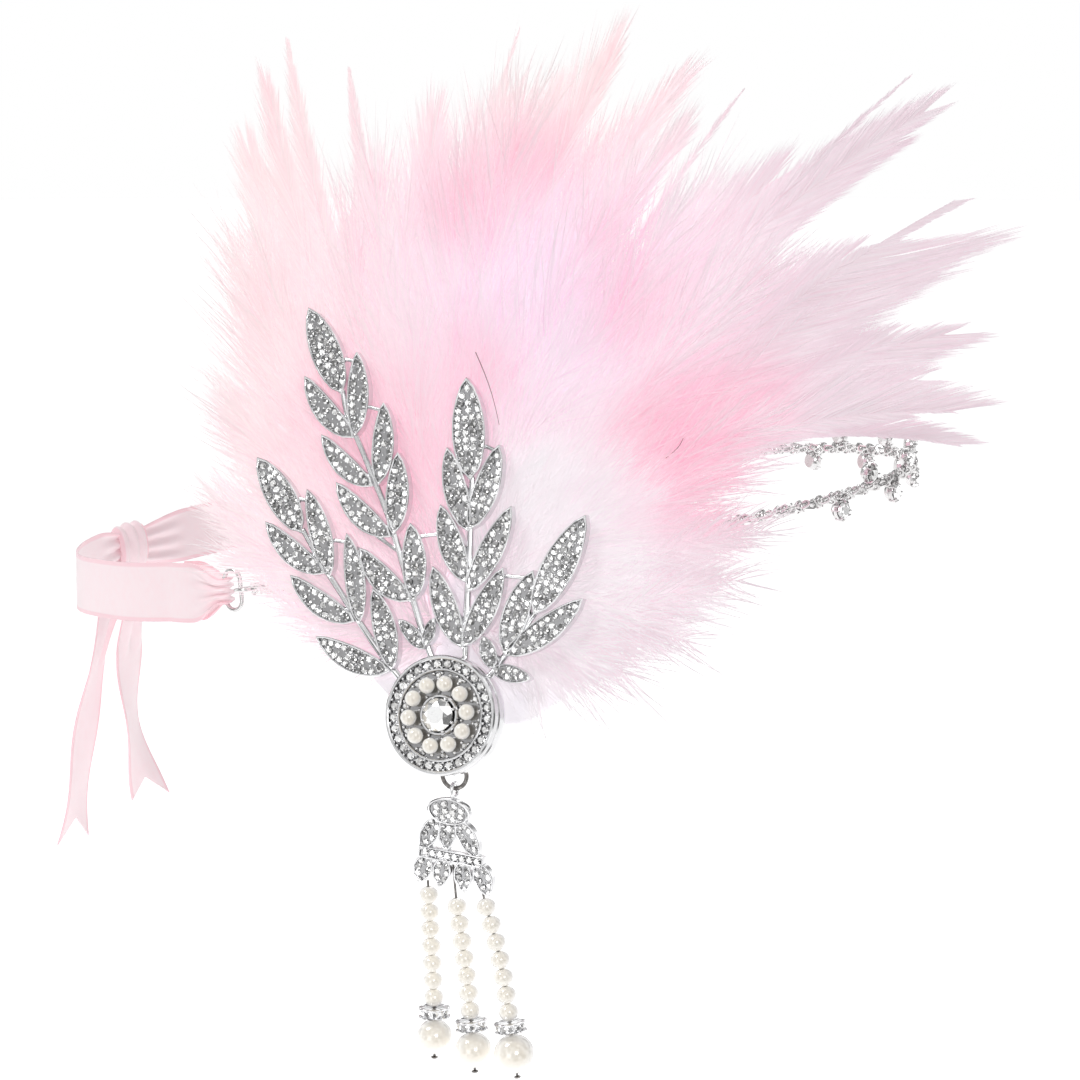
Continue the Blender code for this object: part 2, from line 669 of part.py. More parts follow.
def build_medallion(parts, matrix):
    """Round drum with a channel of stones, a pearl field and a collet for the centre stone."""
    back = -MEDALLION_DEPTH
    profile = [
        (0.0, -0.0008), (0.0033, -0.0008), (0.0036, 0.0004), (0.0040, 0.0004), (0.0041, -0.0008),
        (0.0088, -0.0008), (0.0089, 0.0), (0.0092, 0.0), (0.0093, -0.0008), (0.0111, -0.0008),
        (0.0113, 0.0), (0.0118, 0.0), (MEDALLION_RADIUS, -0.0003), (MEDALLION_RADIUS, back), (0.0, back)]
    drum = turned_mesh("medallion", profile, MEDALLION_STEPS)
    drum.transform(matrix)
    silver = make_material("dark_rimmed_silver", (0.72, 0.72, 0.74), 0.25, 1.0)
    return link_object("medallion", drum, silver, parts)


def build_medallion_pearls(parts, matrix):
    """Ring of small pearls round the collet, and the stone in it."""
    pearl = make_material("ivory_pearl", (0.93, 0.90, 0.84), 0.2, 0.0)
    shared = None
    for index in range(MEDALLION_PEARLS):
        turn = 2 * math.pi * (index + 0.25) / MEDALLION_PEARLS
        spot = Vector((
            MEDALLION_PEARL_CIRCLE * math.cos(turn), MEDALLION_PEARL_CIRCLE * math.sin(turn),
            -0.0008 + MEDALLION_PEARL_RADIUS + GAP))
        if shared is None:
            bm = bmesh.new()
            bmesh.ops.create_uvsphere(bm, u_segments=10, v_segments=5, radius=MEDALLION_PEARL_RADIUS)
            shared = mesh_from_bmesh("medallion_pearl", bm)
        place = matrix @ Matrix.Translation(spot)
        smooth(link_object(f"medallion_pearl_{index + 1:02d}", shared, pearl, parts, place), 60.0)
    crystal = make_material("clear_crystal", (0.88, 0.90, 0.92), 0.05, 0.0)
    seat = Matrix.Translation((0.0, 0.0, 0.00105))
    mesh = stone_mesh("centre_stone", CENTRE_STONE_RADIUS, 16, matrix @ seat, crown=0.30, skirt=0.42, table=0.6)
    return link_object("centre_stone", mesh, crystal, parts)


def build_drop(parts, cutters, matrix):
    """Ring link, stone-set casting, pins, pearls and rondelles of the hanging drop."""
    steel = make_material("dark_wire", (0.45, 0.44, 0.42), 0.3, 1.0)
    silver = make_material("drop_silver", (0.80, 0.80, 0.82), 0.22, 1.0)
    link = ring_mesh("jump_ring", JUMP_RING_RADIUS, JUMP_RING_RADIUS, RING_LINK_WIRE, 16, 6, matrix)
    smooth(link_object("jump_ring", link, steel, parts), 60.0)
    pieces = []
    for index, (bu, bz, tu, tz, width) in enumerate(DROP_LEAVES):
        back = CASTING_BACK + 0.00005 * (index % 3)
        pieces.append(leaf_mesh(
            f"drop_leaf_{index}", (bu * MM, bz * MM), (tu * MM, tz * MM), width * MM, 0.0,
            back, CASTING_DEPTH, 0.00040, 0.00050, matrix))
    seat = DROP_LOOP_RADIUS - DROP_LOOP_WIRE - GAP - RING_LINK_WIRE
    loop_turn = Matrix.Rotation(math.radians(90.0), 4, "Y")
    loop_place = matrix @ Matrix.Translation((0.0, -JUMP_RING_RADIUS - seat, 0.0)) @ loop_turn
    pieces.append(ring_mesh(
        "drop_loop", DROP_LOOP_RADIUS, DROP_LOOP_RADIUS, DROP_LOOP_WIRE, 12, 6, loop_place))
    bm = bmesh.new()
    tilt = Matrix.Rotation(DROP_TILT, 4, "Z")
    bar = Matrix.Translation(DROP_BAR_PLACE) @ tilt @ Matrix.Diagonal((*DROP_BAR_SIZE, 1.0))
    bmesh.ops.create_cube(bm, size=1.0, matrix=matrix @ bar)
    pieces.append(mesh_from_bmesh("drop_bar", bm))
    for side in (-1.0, 1.0):
        seat = Matrix.Translation((side * OVAL_STONE_SHIFT, 0.0, OVAL_FRONT))
        spot = matrix @ Matrix.Translation(OVAL_PLACE) @ tilt @ seat
        pieces.append(stone_mesh("oval_stone", OVAL_STONE_RADIUS, 8, spot))
    oval_profile = [
        (0.0, OVAL_FRONT), (OVAL_RADIUS - 0.0003, OVAL_FRONT), (OVAL_RADIUS, OVAL_FRONT - 0.0003),
        (OVAL_RADIUS, OVAL_BACK), (0.0, OVAL_BACK)]
    oval = turned_mesh("drop_oval", oval_profile, 16)
    drawn_out = Matrix.Diagonal((OVAL_STRETCH, 1.0, 1.0, 1.0))
    oval.transform(matrix @ Matrix.Translation(OVAL_PLACE) @ tilt @ drawn_out)
    fuse("drop_casting", oval, pieces, parts, cutters, silver)
    build_strands(parts, matrix, steel, silver)


def strand_points(row):
    """Bead centres of one strand, then its rondelle and large pearl, in the drop's frame."""
    top_u, top_z, low_u, low_z, bow, large_u, large_radius = row[2:]
    centres = []
    for index in range(STRAND_BEADS):
        s = index / (STRAND_BEADS - 1)
        u = top_u + (low_u - top_u) * s + 4.0 * bow * s * (1.0 - s)
        centres.append(Vector((u * MM, (top_z + (low_z - top_z) * s) * MM, 0.0)))
    direction = (centres[-1] - centres[-2]).normalized()
    rondelle = centres[-1] + direction * (BEAD_HALF_LENGTH + PEARL_SEAT + RONDELLE_HALF_LENGTH)
    reach = RONDELLE_HALF_LENGTH + PEARL_SEAT + large_radius * MM
    large = rondelle + direction * reach
    large.x = 0.6 * large.x + 0.4 * large_u * MM
    return centres, rondelle, large


def build_strands(parts, matrix, steel, silver):
    """Three strands of small pearls, each with a rondelle and a large pearl on a head pin."""
    pearl = make_material("strand_pearl", (0.94, 0.92, 0.87), 0.18, 0.0)
    small = bead_profile(BEAD_RADIUS, BEAD_HALF_LENGTH, BORE_RADIUS, 5)
    rondelle_half = RONDELLE_HALF_LENGTH
    disc = [
        (BORE_RADIUS, rondelle_half), (2.6 * MM, rondelle_half), (RONDELLE_RADIUS, 0.75 * rondelle_half),
        (RONDELLE_RADIUS, -0.75 * rondelle_half), (2.6 * MM, -rondelle_half), (BORE_RADIUS, -rondelle_half)]
    for number, row in enumerate(STRANDS, start=1):
        centres, rondelle, large = strand_points(row)
        path = centres + [rondelle, large]
        for index, centre in enumerate(path):
            before = path[max(index - 1, 0)]
            after = path[min(index + 1, len(path) - 1)]
            place = matrix @ centre
            axis = (matrix @ before) - (matrix @ after)
            aimed = aim_matrix(place, axis)
            if index < STRAND_BEADS:
                name = f"pearl_{number}_{index + 1}"
                smooth(lathe_object(name, small, 10, pearl, parts, aimed), 60.0)
            elif index == STRAND_BEADS:
                smooth(lathe_object(f"rondelle_{number}", disc, 14, silver, parts, aimed))
            else:
                radius = row[-1] * MM
                profile = bead_profile(radius, 0.97 * radius, BORE_RADIUS, 7)
                smooth(lathe_object(f"large_pearl_{number}", profile, 14, pearl, parts, aimed), 60.0)
        build_pin(parts, matrix, steel, number, path, row)


def build_pin(parts, matrix, steel, number, path, row):
    """Head pin through one strand, from between the petals to its head below the large pearl."""
    pin_u, pin_z, large_radius = row[0] * MM, row[1] * MM, row[-1] * MM
    last = (path[-1] - path[-2]).normalized()
    top = Vector((pin_u, pin_z, 0.0))
    foot = path[-1] + last * (large_radius + GAP)
    head = foot + last * PIN_RADIUS
    end = head + last * PIN_HEAD_DEPTH
    line = [top] + path + [foot, head, end]
    radii = [PIN_RADIUS] * (len(line) - 2) + [3.0 * PIN_RADIUS, 2.2 * PIN_RADIUS]
    mesh = tube_mesh(f"head_pin_{number}", line, radii, 0, matrix=matrix)
    link_object(f"head_pin_{number}", mesh, steel, parts)


def pad_back_point(matrix, place):
    """Where the middle of a chain lies when its end is sewn to the pad's back."""
    u, v = place
    return matrix @ Vector((u * MM, v * MM, PAD_BACK - CHAIN_RADIUS - 2 * GAP))


def chain_path(matrix):
    """Middle line of the long chain, from the pad's back round to the far ring."""
    start = pad_back_point(matrix, FRONT_CHAIN_SEAT)
    lead = sewn_lead(start, CHAIN_MEETS_BAND, LEAD_POINTS)
    hook = FAR_RING_ANGLE + angle_of(ROPE_END_REACH, FAR_RING_ANGLE)
    line = lead[:-1]
    for index in range(CHAIN_POINTS):
        turn = CHAIN_MEETS_BAND + (hook - CHAIN_MEETS_BAND) * index / (CHAIN_POINTS - 1)
        line.append(band_point(turn, CHAIN_STANDOFF))
    return line


def sewn_lead(start, angle, count, side=-1.0):
    """Curve from a seat on the pad's back that runs onto the band at an angle."""
    finish = band_point(angle, CHAIN_STANDOFF)
    handle = finish + band_axes(angle)[0] * (side * LEAD_HANDLE)
    first = start.lerp(handle, 0.5)
    return [bezier(start, first, handle, finish, index / (count - 1)) for index in range(count)]


def bezier(a, b, c, d, s):
    """Point on a cubic curve."""
    return a * (1 - s) ** 3 + b * (3 * s * (1 - s) ** 2) + c * (3 * s * s * (1 - s)) + d * s ** 3


def band_frame(angle, standoff):
    """Matrix at the band with X forward, Y upward and Z outward."""
    forward, outward, upward = band_axes(angle)
    across = upward.cross(outward)
    turned = Matrix((across, upward, outward)).transposed().to_4x4()
    return Matrix.Translation(band_point(angle, standoff)) @ turned


def end_link(name, angle, standoff):
    """Small link at the end of a chain, threaded through the band's oval ring."""
    turned = Matrix.Rotation(math.radians(90.0), 4, "X")
    place = band_frame(angle, standoff) @ turned
    return ring_mesh(name, END_LINK_HALF_LENGTH, END_LINK_HALF_HEIGHT, END_LINK_WIRE, 12, 6, place)


def build_chains(parts, cutters, matrix):
    """Long stone-set rope chain, the short one behind the brooch, and the two oval rings."""
    silver = make_material("chain_silver", (0.78, 0.78, 0.79), 0.25, 1.0)
    line = chain_path(matrix)
    rope = tube_mesh("rope_chain_front", line, [CHAIN_RADIUS] * len(line), 1)
    pieces = []
    angle = CHAIN_STONE_START
    for index in range(CHAIN_STONES):
        side = -1.0 if index % 2 == 0 else 1.0
        frame = band_frame(angle, CHAIN_STANDOFF) @ Matrix.Translation((0.0, side * CHAIN_STONE_OFFSET, 0.0))
        cup = turned_mesh(f"cup_{index}", [
            (0.0, 0.0010), (CUP_RADIUS - 0.0003, 0.0010), (CUP_RADIUS, 0.0006),
            (0.75 * CUP_RADIUS, -0.0012), (0.0, -0.0012)], 8)
        cup.transform(frame)
        pieces.append(cup)
        pieces.append(stone_mesh(
            f"chain_stone_{index}", 0.0016, 8, frame @ Matrix.Translation((0.0, 0.0, 0.0011))))
        angle -= angle_of(CHAIN_STONE_PITCH, angle)
    link_step = angle_of(END_LINK_REACH, FAR_RING_ANGLE)
    pieces.append(end_link("front_link", FAR_RING_ANGLE + link_step, CHAIN_STANDOFF))
    fuse("rope_chain_front", rope, pieces, parts, cutters, silver)
    near = NEAR_RING_ANGLE - angle_of(ROPE_END_REACH, NEAR_RING_ANGLE)
    short = sewn_lead(pad_back_point(matrix, NEAR_CHAIN_SEAT), near, NEAR_CHAIN_POINTS, side=1.0)
    rope = tube_mesh("rope_chain_near", short, [CHAIN_RADIUS] * len(short), 1)
    link = end_link("near_link", NEAR_RING_ANGLE - link_step, CHAIN_STANDOFF)
    fuse("rope_chain_near", rope, [link], parts, cutters, silver)
    for name, angle in (("ribbon_ring_near", NEAR_RING_ANGLE), ("ribbon_ring_far", FAR_RING_ANGLE)):
        mesh = ring_mesh(
            name, BAND_RING_HALF_LENGTH, BAND_RING_HALF_HEIGHT, BAND_RING_WIRE, 16, 6,
            band_frame(angle, CHAIN_STANDOFF))
        smooth(link_object(name, mesh, silver, parts), 60.0)


def strip_object(name, rows, material, collection, notch=0.0):
    """Ribbon as an open strip of (middle, half width, up) rows with a Solidify wall."""
    bm = bmesh.new()
    columns = []
    for middle, half, up in rows:
        columns.append([bm.verts.new(middle + up * (half * part)) for part in (-1.0, 0.0, 1.0)])
    ending = (rows[-1][0] - rows[-2][0]).normalized()
    columns[-1][1].co -= ending * notch
    for before, after in zip(columns, columns[1:]):
        for low, high in ((0, 1), (1, 2)):
            bm.faces.new((before[low], after[low], after[high], before[high]))
    mesh = bpy.data.meshes.new(name)
    bm.to_mesh(mesh)
    bm.free()
    made = link_object(name, mesh, material, collection)
    wall = made.modifiers.new("wall", "SOLIDIFY")
    wall.thickness = RIBBON_THICKNESS
    wall.offset = 0.0
    wall.use_even_offset = True
    return made


def ribbon_rows(ring_angle, side):
    """Rows of a ribbon that folds round its ring's bar and runs to the knot."""
    bar = ring_angle + side * angle_of(BAND_RING_HALF_LENGTH, ring_angle)
    fold = BAND_RING_WIRE + GAP + 0.5 * RIBBON_THICKNESS
    tail = 0.013
    rows = []

    def add(shift, standoff, half):
        angle = bar + side * angle_of(shift, bar)
        up = band_axes(angle)[2]
        rows.append((band_point(angle, standoff), half, up))

    inner = CHAIN_STANDOFF - fold
    outer = CHAIN_STANDOFF + fold
    neck = 0.5 * RIBBON_NECK
    full = 0.5 * RIBBON_WIDTH
    for shift, half in ((tail, full), (0.009, full), (0.005, 0.8 * full), (0.0015, neck)):
        add(shift, inner, half)
    for index in range(5):
        turn = math.pi * (index + 0.5) / 5
        add(-fold * math.sin(turn), CHAIN_STANDOFF - fold * math.cos(turn), neck)
    for shift, half in ((0.0015, neck), (0.005, 0.8 * full), (0.009, full), (0.015, full)):
        add(shift, outer, half)
    knot_step = angle_of(KNOT_HALF_WIDTH + GAP, KNOT_ANGLE)
    last = side * KNOT_ANGLE - side * knot_step
    first = bar + side * angle_of(0.020, bar)
    steps = 12
    for index in range(steps + 1):
        angle = first + (last - first) * index / steps
        up = band_axes(angle)[2]
        squeeze = 1.0 if index < steps - 1 else 0.80
        rows.append((band_point(angle, 0.0010), full * squeeze, up))
    return rows


def tail_rows(side, length, back):
    """Rows of one hanging ribbon tail, from under the knot down to its end."""
    start = band_point(KNOT_ANGLE, KNOT_STANDOFF)
    start += Vector((side * TAIL_START_SIDE, back, -0.5 * KNOT_HEIGHT - TAIL_START_GAP))
    rows = []
    for index in range(TAIL_STEPS + 1):
        s = index / TAIL_STEPS
        sway = side * (TAIL_SWAY_TOP + (TAIL_SWAY_FOOT - TAIL_SWAY_TOP) * s)
        depth = TAIL_BULGE * math.sin(math.pi * s) + TAIL_KICK * s
        middle = start + Vector((sway * s, depth, -length * s))
        across = Vector((math.cos(TAIL_TURN * s), TAIL_TWIST * math.sin(math.pi * s), 0.0)).normalized()
        half = 0.5 * RIBBON_WIDTH * min(1.0, TAIL_GATHER + (1.0 - TAIL_GATHER) * 3.0 * s)
        rows.append((middle, half, across))
    return rows


def build_ribbons(parts):
    """Ribbons from the oval rings to the knot at the back, the knot and its two tails."""
    satin = make_material("pink_satin", (0.96, 0.78, 0.82), 0.35, 0.0)
    strip_object("ribbon_near", ribbon_rows(NEAR_RING_ANGLE, 1.0), satin, parts)
    strip_object("ribbon_far", ribbon_rows(FAR_RING_ANGLE, -1.0), satin, parts)
    bm = bmesh.new()
    size = Matrix.Diagonal((2 * KNOT_HALF_WIDTH, KNOT_HEIGHT, KNOT_DEPTH, 1.0))
    bmesh.ops.create_cube(bm, size=1.0, matrix=size)
    bmesh.ops.bevel(bm, geom=bm.edges[:], offset=KNOT_ROUNDING, segments=2, profile=0.6, affect="EDGES")
    knot = mesh_from_bmesh("ribbon_knot", bm)
    place = band_frame(KNOT_ANGLE, KNOT_STANDOFF)
    smooth(link_object("ribbon_knot", knot, satin, parts, place), 60.0)
    for name, side, length, back in RIBBON_TAILS:
        rows = tail_rows(side, length * MM, back * MM)
        strip_object(name, rows, satin, parts, notch=TAIL_NOTCH)


def main():
    """Build every piece of the headband."""
    clear_scene()
    parts = make_collection("feather_headband")
    cutters = make_collection("cutters")
    brooch = brooch_matrix()
    build_pad(parts, brooch)
    build_plume(parts, cutters, brooch)
    build_spray(parts, cutters, brooch)
    build_medallion(parts, brooch)
    build_medallion_pearls(parts, brooch)
    build_drop(parts, cutters, drop_matrix())
    build_chains(parts, cutters, brooch)
    build_ribbons(parts)
    bpy.context.view_layer.update()


main()
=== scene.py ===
"""Looks of the feather headband: a dyed feather plume, a silver leaf spray set with clear stones,
a pearl medallion, a swinging pearl drop, a rope chain with claw-set stones and satin ribbons.

Metres, +Z up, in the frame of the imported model. -Y is the front of the head and -X its right
side. Tables are in millimetres and degrees, and MM turns them into metres.
"""

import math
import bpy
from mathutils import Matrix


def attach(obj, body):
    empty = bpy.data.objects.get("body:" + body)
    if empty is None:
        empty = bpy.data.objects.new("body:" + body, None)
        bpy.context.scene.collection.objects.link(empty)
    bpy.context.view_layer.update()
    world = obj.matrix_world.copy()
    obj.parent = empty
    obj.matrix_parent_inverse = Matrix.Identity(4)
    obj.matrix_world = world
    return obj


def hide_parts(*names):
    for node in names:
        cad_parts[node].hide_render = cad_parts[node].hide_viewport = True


bl_info = {
    "name": "Feather Headband Looks",
    "version": (1, 0, 0),
    "blender": (4, 5, 0),
    "location": "3D View > Sidebar > Headband",
    "description": "Feathers, silver, stones, pearls and satin of a feather headband",
    "category": "Object",
}

import bmesh
import bpy
import numpy as np
from mathutils import Matrix, Vector

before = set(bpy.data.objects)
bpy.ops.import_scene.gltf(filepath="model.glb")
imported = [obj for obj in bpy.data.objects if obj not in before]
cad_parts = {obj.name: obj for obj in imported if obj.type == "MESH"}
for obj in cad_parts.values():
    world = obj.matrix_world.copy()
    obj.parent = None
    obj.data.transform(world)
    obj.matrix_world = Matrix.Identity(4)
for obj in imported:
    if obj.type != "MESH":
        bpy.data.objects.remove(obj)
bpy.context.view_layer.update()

MM = 0.001
GAP = 0.0003

# Camera at the photograph's viewing angle, and where the loop's middle lies in its frame
CAMERA_AZIMUTH = math.radians(-58.0)
CAMERA_ELEVATION = math.radians(7.0)
CAMERA_DISTANCE = 0.850
CAMERA_LENS = 126.4
FRAME_PIXELS = 1080.0
MIDDLE_PIXEL = (484.1, 517.3)

# Surroundings: floor, greys of the room from below to above, and greys of the panels that metal mirrors
FLOOR_RADIUS = 3.0
FLOOR_AWAY = 2.8
FLOOR_GLOW = 0.78
ROOM_STRENGTH = 0.38
ROOM_GREYS = [(0.0, 0.70), (0.42, 0.60), (0.50, 0.50), (0.60, 0.65), (0.75, 1.05), (1.0, 1.25)]
PANEL_SCALE = 2.6
PANEL_GREYS = [(0.0, 0.16), (0.42, 0.16), (0.50, 0.60), (0.58, 1.45), (1.0, 1.45)]

# Soft boxes: name, place, side of the square, share of the key's power
LIGHTS = [
    ("key", (-0.55, 0.35, 0.75), 0.26, 1.0),
    ("fill", (-0.75, -0.75, 0.25), 0.34, 0.60),
    ("rim", (0.45, 0.30, 0.60), 0.50, 0.40),
    ("low", (-0.70, -0.05, -0.10), 0.30, 0.10),
]

# Band loop: half length front to back, half width, and the slope of its plane
BAND_HALF_LENGTH = 0.0968
BAND_HALF_WIDTH = 0.0774
FRONT_RISE = 0.140
RIGHT_DROP = 0.079

# Brooch frame: u runs to the front, v up the spray, w out of the medallion's face
BROOCH_CENTRE = Vector((-0.0921, -0.0471, -0.0268))
BROOCH_TURN = math.radians(8.0)
BROOCH_LEAN = math.radians(12.0)

# Medallion
MEDALLION_DEPTH = 4.4 * MM
MEDALLION_STEPS = 96
MEDALLION_PEARLS = 10
MEDALLION_PEARL_RADIUS = 1.5 * MM
MEDALLION_PEARL_CIRCLE = 6.3 * MM
PEARL_LOOK = 1.62 * MM
CHANNEL_STONES = 29
CHANNEL_CIRCLE = 10.2 * MM
CHANNEL_STONE_RADIUS = 0.92 * MM
CENTRE_STONE_RADIUS = 3.3 * MM

# Leaf spray casting
LEAF_BACK = -5.2 * MM
LEAF_DEPTH = 2.2 * MM
LEAF_RIM = 0.36 * MM
LEAF_FULLER = 1.22
LEAF_BED = 0.60 * MM
RIM_SLOPE = 0.10 * MM
LEAF_STATIONS = 9
NARROW_LEAF = 3.8 * MM
STONE_ROCK = 0.15
STEM_RADIUS = 0.75 * MM
STRUT_RADIUS = 0.45 * MM
HUB_RADIUS = 11.8 * MM
HUB_BACK = -5.8 * MM
HUB_FRONT = -4.7 * MM
EYELET_PLACE = (0.8 * MM, -8.1 * MM, -7.5 * MM)
EYELET_RADIUS = 2.1 * MM
EYELET_WIRE = 0.45 * MM

# Feathers and the pad they are glued to
PAD_BACK = -12.0 * MM
PAD_THICKNESS = 2.0 * MM
PLUME_ROOT = Vector((0.0, 16.0 * MM, -7.6 * MM))
BARBS_PAST_QUILL = 11.0
LOCK_LAYERS = (1.0, 0.98, 0.93, 0.86, 0.77, 0.66, 0.54)
FRONT_LAYERS = (0.82, 0.66, 0.52, 0.38)
DOWN_QUILL = (0.26 * MM, 0.07 * MM)
FEATHER_QUILL = (0.42 * MM, 0.12 * MM)
FLUFF_QUILL = (0.24 * MM, 0.07 * MM)
HAIR_WIDTHS = (0.18 * MM, 0.10 * MM)
HAIR_DEPTHS = (-3.6, -3.2)
HAIR_BOW = 0.6 * MM

# White fluff: how many feathers, the angles they cover, and its edge as reach (mm) at some angles
WHITE_FEATHERS = 34
WHITE_START = 14.0
WHITE_SWEEP = 99.0
WHITE_ANGLES = (10.0, 60.0, 66.0, 78.0, 91.0, 113.0)
WHITE_REACHES = (34.0, 56.0, 60.0, 50.0, 38.0, 18.0)

# Room the barbs leave behind the spray, in the brooch frame (mm): middle, half size, depth and softness
SPRAY_MIDDLE = (-10.0, 40.0)
SPRAY_HALF_SIZE = (42.0, 36.0)
SPRAY_CLEARANCE = -5.5
CLEARANCE_SLOPE = 0.5
CLEARANCE_ROOM = 3.0 * MM

# Pearl drop
JUMP_RING_RADIUS = 2.65 * MM
RING_LINK_WIRE = 0.45 * MM
DROP_LOOP_RADIUS = 1.5 * MM
DROP_LOOP_WIRE = 0.4 * MM
BEAD_RADIUS = 2.0 * MM
BEAD_HALF_LENGTH = 1.57 * MM
BEAD_LOOK = 1.80 * MM
BORE_RADIUS = 0.56 * MM
PIN_RADIUS = 0.25 * MM
PIN_HEAD_DEPTH = 0.3 * MM
RONDELLE_RADIUS = 3.25 * MM
RONDELLE_HALF_LENGTH = 1.1 * MM
RONDELLE_STONES = 11
CASTING_BACK = -0.9 * MM
CASTING_DEPTH = 1.8 * MM
DROP_LEAF_FULLER = 1.12
DROP_TILT = math.radians(-5.4)
DROP_BAR_PLACE = (-0.5 * MM, -16.5 * MM, 0.0)
DROP_BAR_SIZE = (14.2 * MM, 2.4 * MM, 2.12 * MM)
OVAL_PLACE = (-1.0 * MM, -7.3 * MM, 0.0)
OVAL_RADIUS = 2.7 * MM
OVAL_STRETCH = 1.75
OVAL_FRONT = 1.08 * MM
OVAL_BACK = -0.83 * MM

# Chain and ribbon
CHAIN_RADIUS = 1.35 * MM
CHAIN_STANDOFF = 1.6 * MM
CHAIN_POINTS = 37
LEAD_POINTS = 6
LEAD_HANDLE = 6.0 * MM
NEAR_CHAIN_POINTS = 10
CHAIN_MEETS_BAND = math.radians(34.0)
FRONT_CHAIN_SEAT = (21.0, 37.0)
NEAR_CHAIN_SEAT = (-21.0, 24.5)
CHAIN_STONES = 12
CHAIN_STONE_PITCH = 10.5 * MM
CHAIN_STONE_START = math.radians(11.5)
CHAIN_STONE_OFFSET = 2.9 * MM
CUP_RADIUS = 2.15 * MM
CHAIN_STONE_RADIUS = 1.75 * MM
NEAR_RING_ANGLE = math.radians(97.5)
FAR_RING_ANGLE = math.radians(-97.5)
BAND_RING_HALF_LENGTH = 2.2 * MM
BAND_RING_HALF_HEIGHT = 4.2 * MM
BAND_RING_WIRE = 0.5 * MM
END_LINK_REACH = 3.2 * MM
END_LINK_HALF_LENGTH = 2.2 * MM
END_LINK_HALF_HEIGHT = 1.8 * MM
END_LINK_WIRE = 0.4 * MM
ROPE_END_REACH = 5.2 * MM
ROPE_LINK_PITCH = 0.78 * MM
RIBBON_WIDTH = 12.7 * MM
RIBBON_FOLD_ROOM = 1.0 * MM
RIBBON_CLOTH = 0.35 * MM
RIBBON_NECK = 5.2 * MM
KNOT_ANGLE = math.pi
KNOT_HALF_WIDTH = 6.0 * MM
KNOT_HEIGHT = 13.0 * MM
KNOT_DEPTH = 6.4 * MM
KNOT_STANDOFF = 3.0 * MM
TAIL_STEPS = 40
TAIL_START_SIDE = 3.2 * MM
TAIL_START_GAP = 0.6 * MM
TAIL_GATHER = 0.62
TAIL_SWAY_TOP = 3.0 * MM
TAIL_SWAY_FOOT = 11.0 * MM
TAIL_BULGE = 3.5 * MM
TAIL_KICK = 6.0 * MM
TAIL_TURN = -0.25
TAIL_TWIST = 0.35
TAIL_NOTCH = 5.5 * MM

# Outline of the felt pad: u, v (mm)
PAD_OUTLINE = [
    (-9.0, -2.0), (14.5, -0.6), (26.5, 9.6), (27.0, 30.0), (20.0, 42.0),
    (-8.0, 42.0), (-24.0, 34.0), (-27.0, 18.0), (-20.0, 6.0)]

# Leaves of each sprig: base u and v, tip u and v, width, sideways bend (mm)
SPRIG_LEAVES = {
    "A": [
        (-29.1, 63.5, -38.5, 81.0, 5.6, 0.0),
        (-25.4, 54.8, -26.7, 72.3, 4.1, 0.5),
        (-19.2, 45.2, -19.7, 62.2, 4.1, 0.5),
        (-15.0, 35.3, -15.6, 52.2, 4.3, 0.5),
        (-9.2, 22.4, -11.4, 38.1, 4.5, 0.5),
        (-6.0, 13.4, -4.4, 19.4, 2.3, 0.0),
        (-25.6, 54.6, -38.0, 66.9, 4.1, -1.2),
        (-20.4, 45.0, -33.1, 55.1, 3.8, -1.2),
        (-15.4, 35.0, -28.8, 45.5, 4.1, -1.2),
        (-9.7, 22.4, -22.2, 32.5, 4.3, -1.2),
        (-5.8, 12.9, -12.2, 18.6, 2.6, 0.0),
    ],
    "B": [
        (-35.4, 34.8, -47.2, 49.8, 5.4, 0.0),
        (-28.3, 25.8, -35.2, 43.8, 4.1, 0.5),
        (-20.8, 16.9, -25.4, 35.3, 3.8, 0.5),
        (-12.6, 8.2, -18.5, 24.5, 4.3, 0.5),
        (-29.4, 26.8, -44.0, 36.7, 4.1, -1.2),
        (-21.8, 17.5, -37.3, 26.1, 4.1, -1.2),
        (-13.2, 8.0, -30.3, 14.0, 4.3, -1.0),
    ],
    "C": [
        (1.0, 47.2, -1.9, 67.9, 6.0, 0.0),
        (1.4, 36.9, -4.8, 53.7, 4.3, -0.5),
        (1.9, 26.7, -5.2, 42.1, 4.5, -0.5),
        (2.2, 13.7, -5.7, 29.7, 4.5, -0.5),
        (1.6, 37.2, 6.6, 54.7, 4.6, 0.5),
        (2.2, 24.7, 10.3, 42.6, 4.5, 0.5),
        (2.3, 13.8, 9.7, 30.3, 4.5, 0.5),
    ],
    "D": [
        (17.0, 21.2, 26.4, 41.6, 5.9, 0.0),
        (11.4, 13.0, 16.2, 30.1, 4.7, -0.5),
        (9.4, 10.0, 6.5, 16.4, 3.0, 0.0),
        (11.4, 12.8, 27.3, 25.1, 4.5, 0.8),
        (9.0, 9.9, 17.6, 8.6, 2.9, 0.0),
    ],
}

# Stem of each sprig from its top leaf down to the hub: u, v (mm)
SPRIG_STEMS = {
    "A": [(-29.6, 64.8), (-27.8, 59.2), (-22.8, 50.3), (-16.4, 38.4), (-11.1, 26.0), (-7.4, 17.3),
          (-5.2, 11.8), (-4.6, 10.0)],
    "B": [(-36.2, 36.2), (-31.4, 29.7), (-26.7, 24.1), (-18.1, 14.0), (-11.6, 6.9), (-9.4, 5.4)],
    "C": [(0.9, 48.8), (1.3, 40.9), (1.8, 33.0), (2.3, 20.0), (2.2, 12.9), (2.2, 9.8)],
    "D": [(18.0, 23.2), (13.3, 15.9), (9.0, 10.0), (7.4, 8.0)],
}

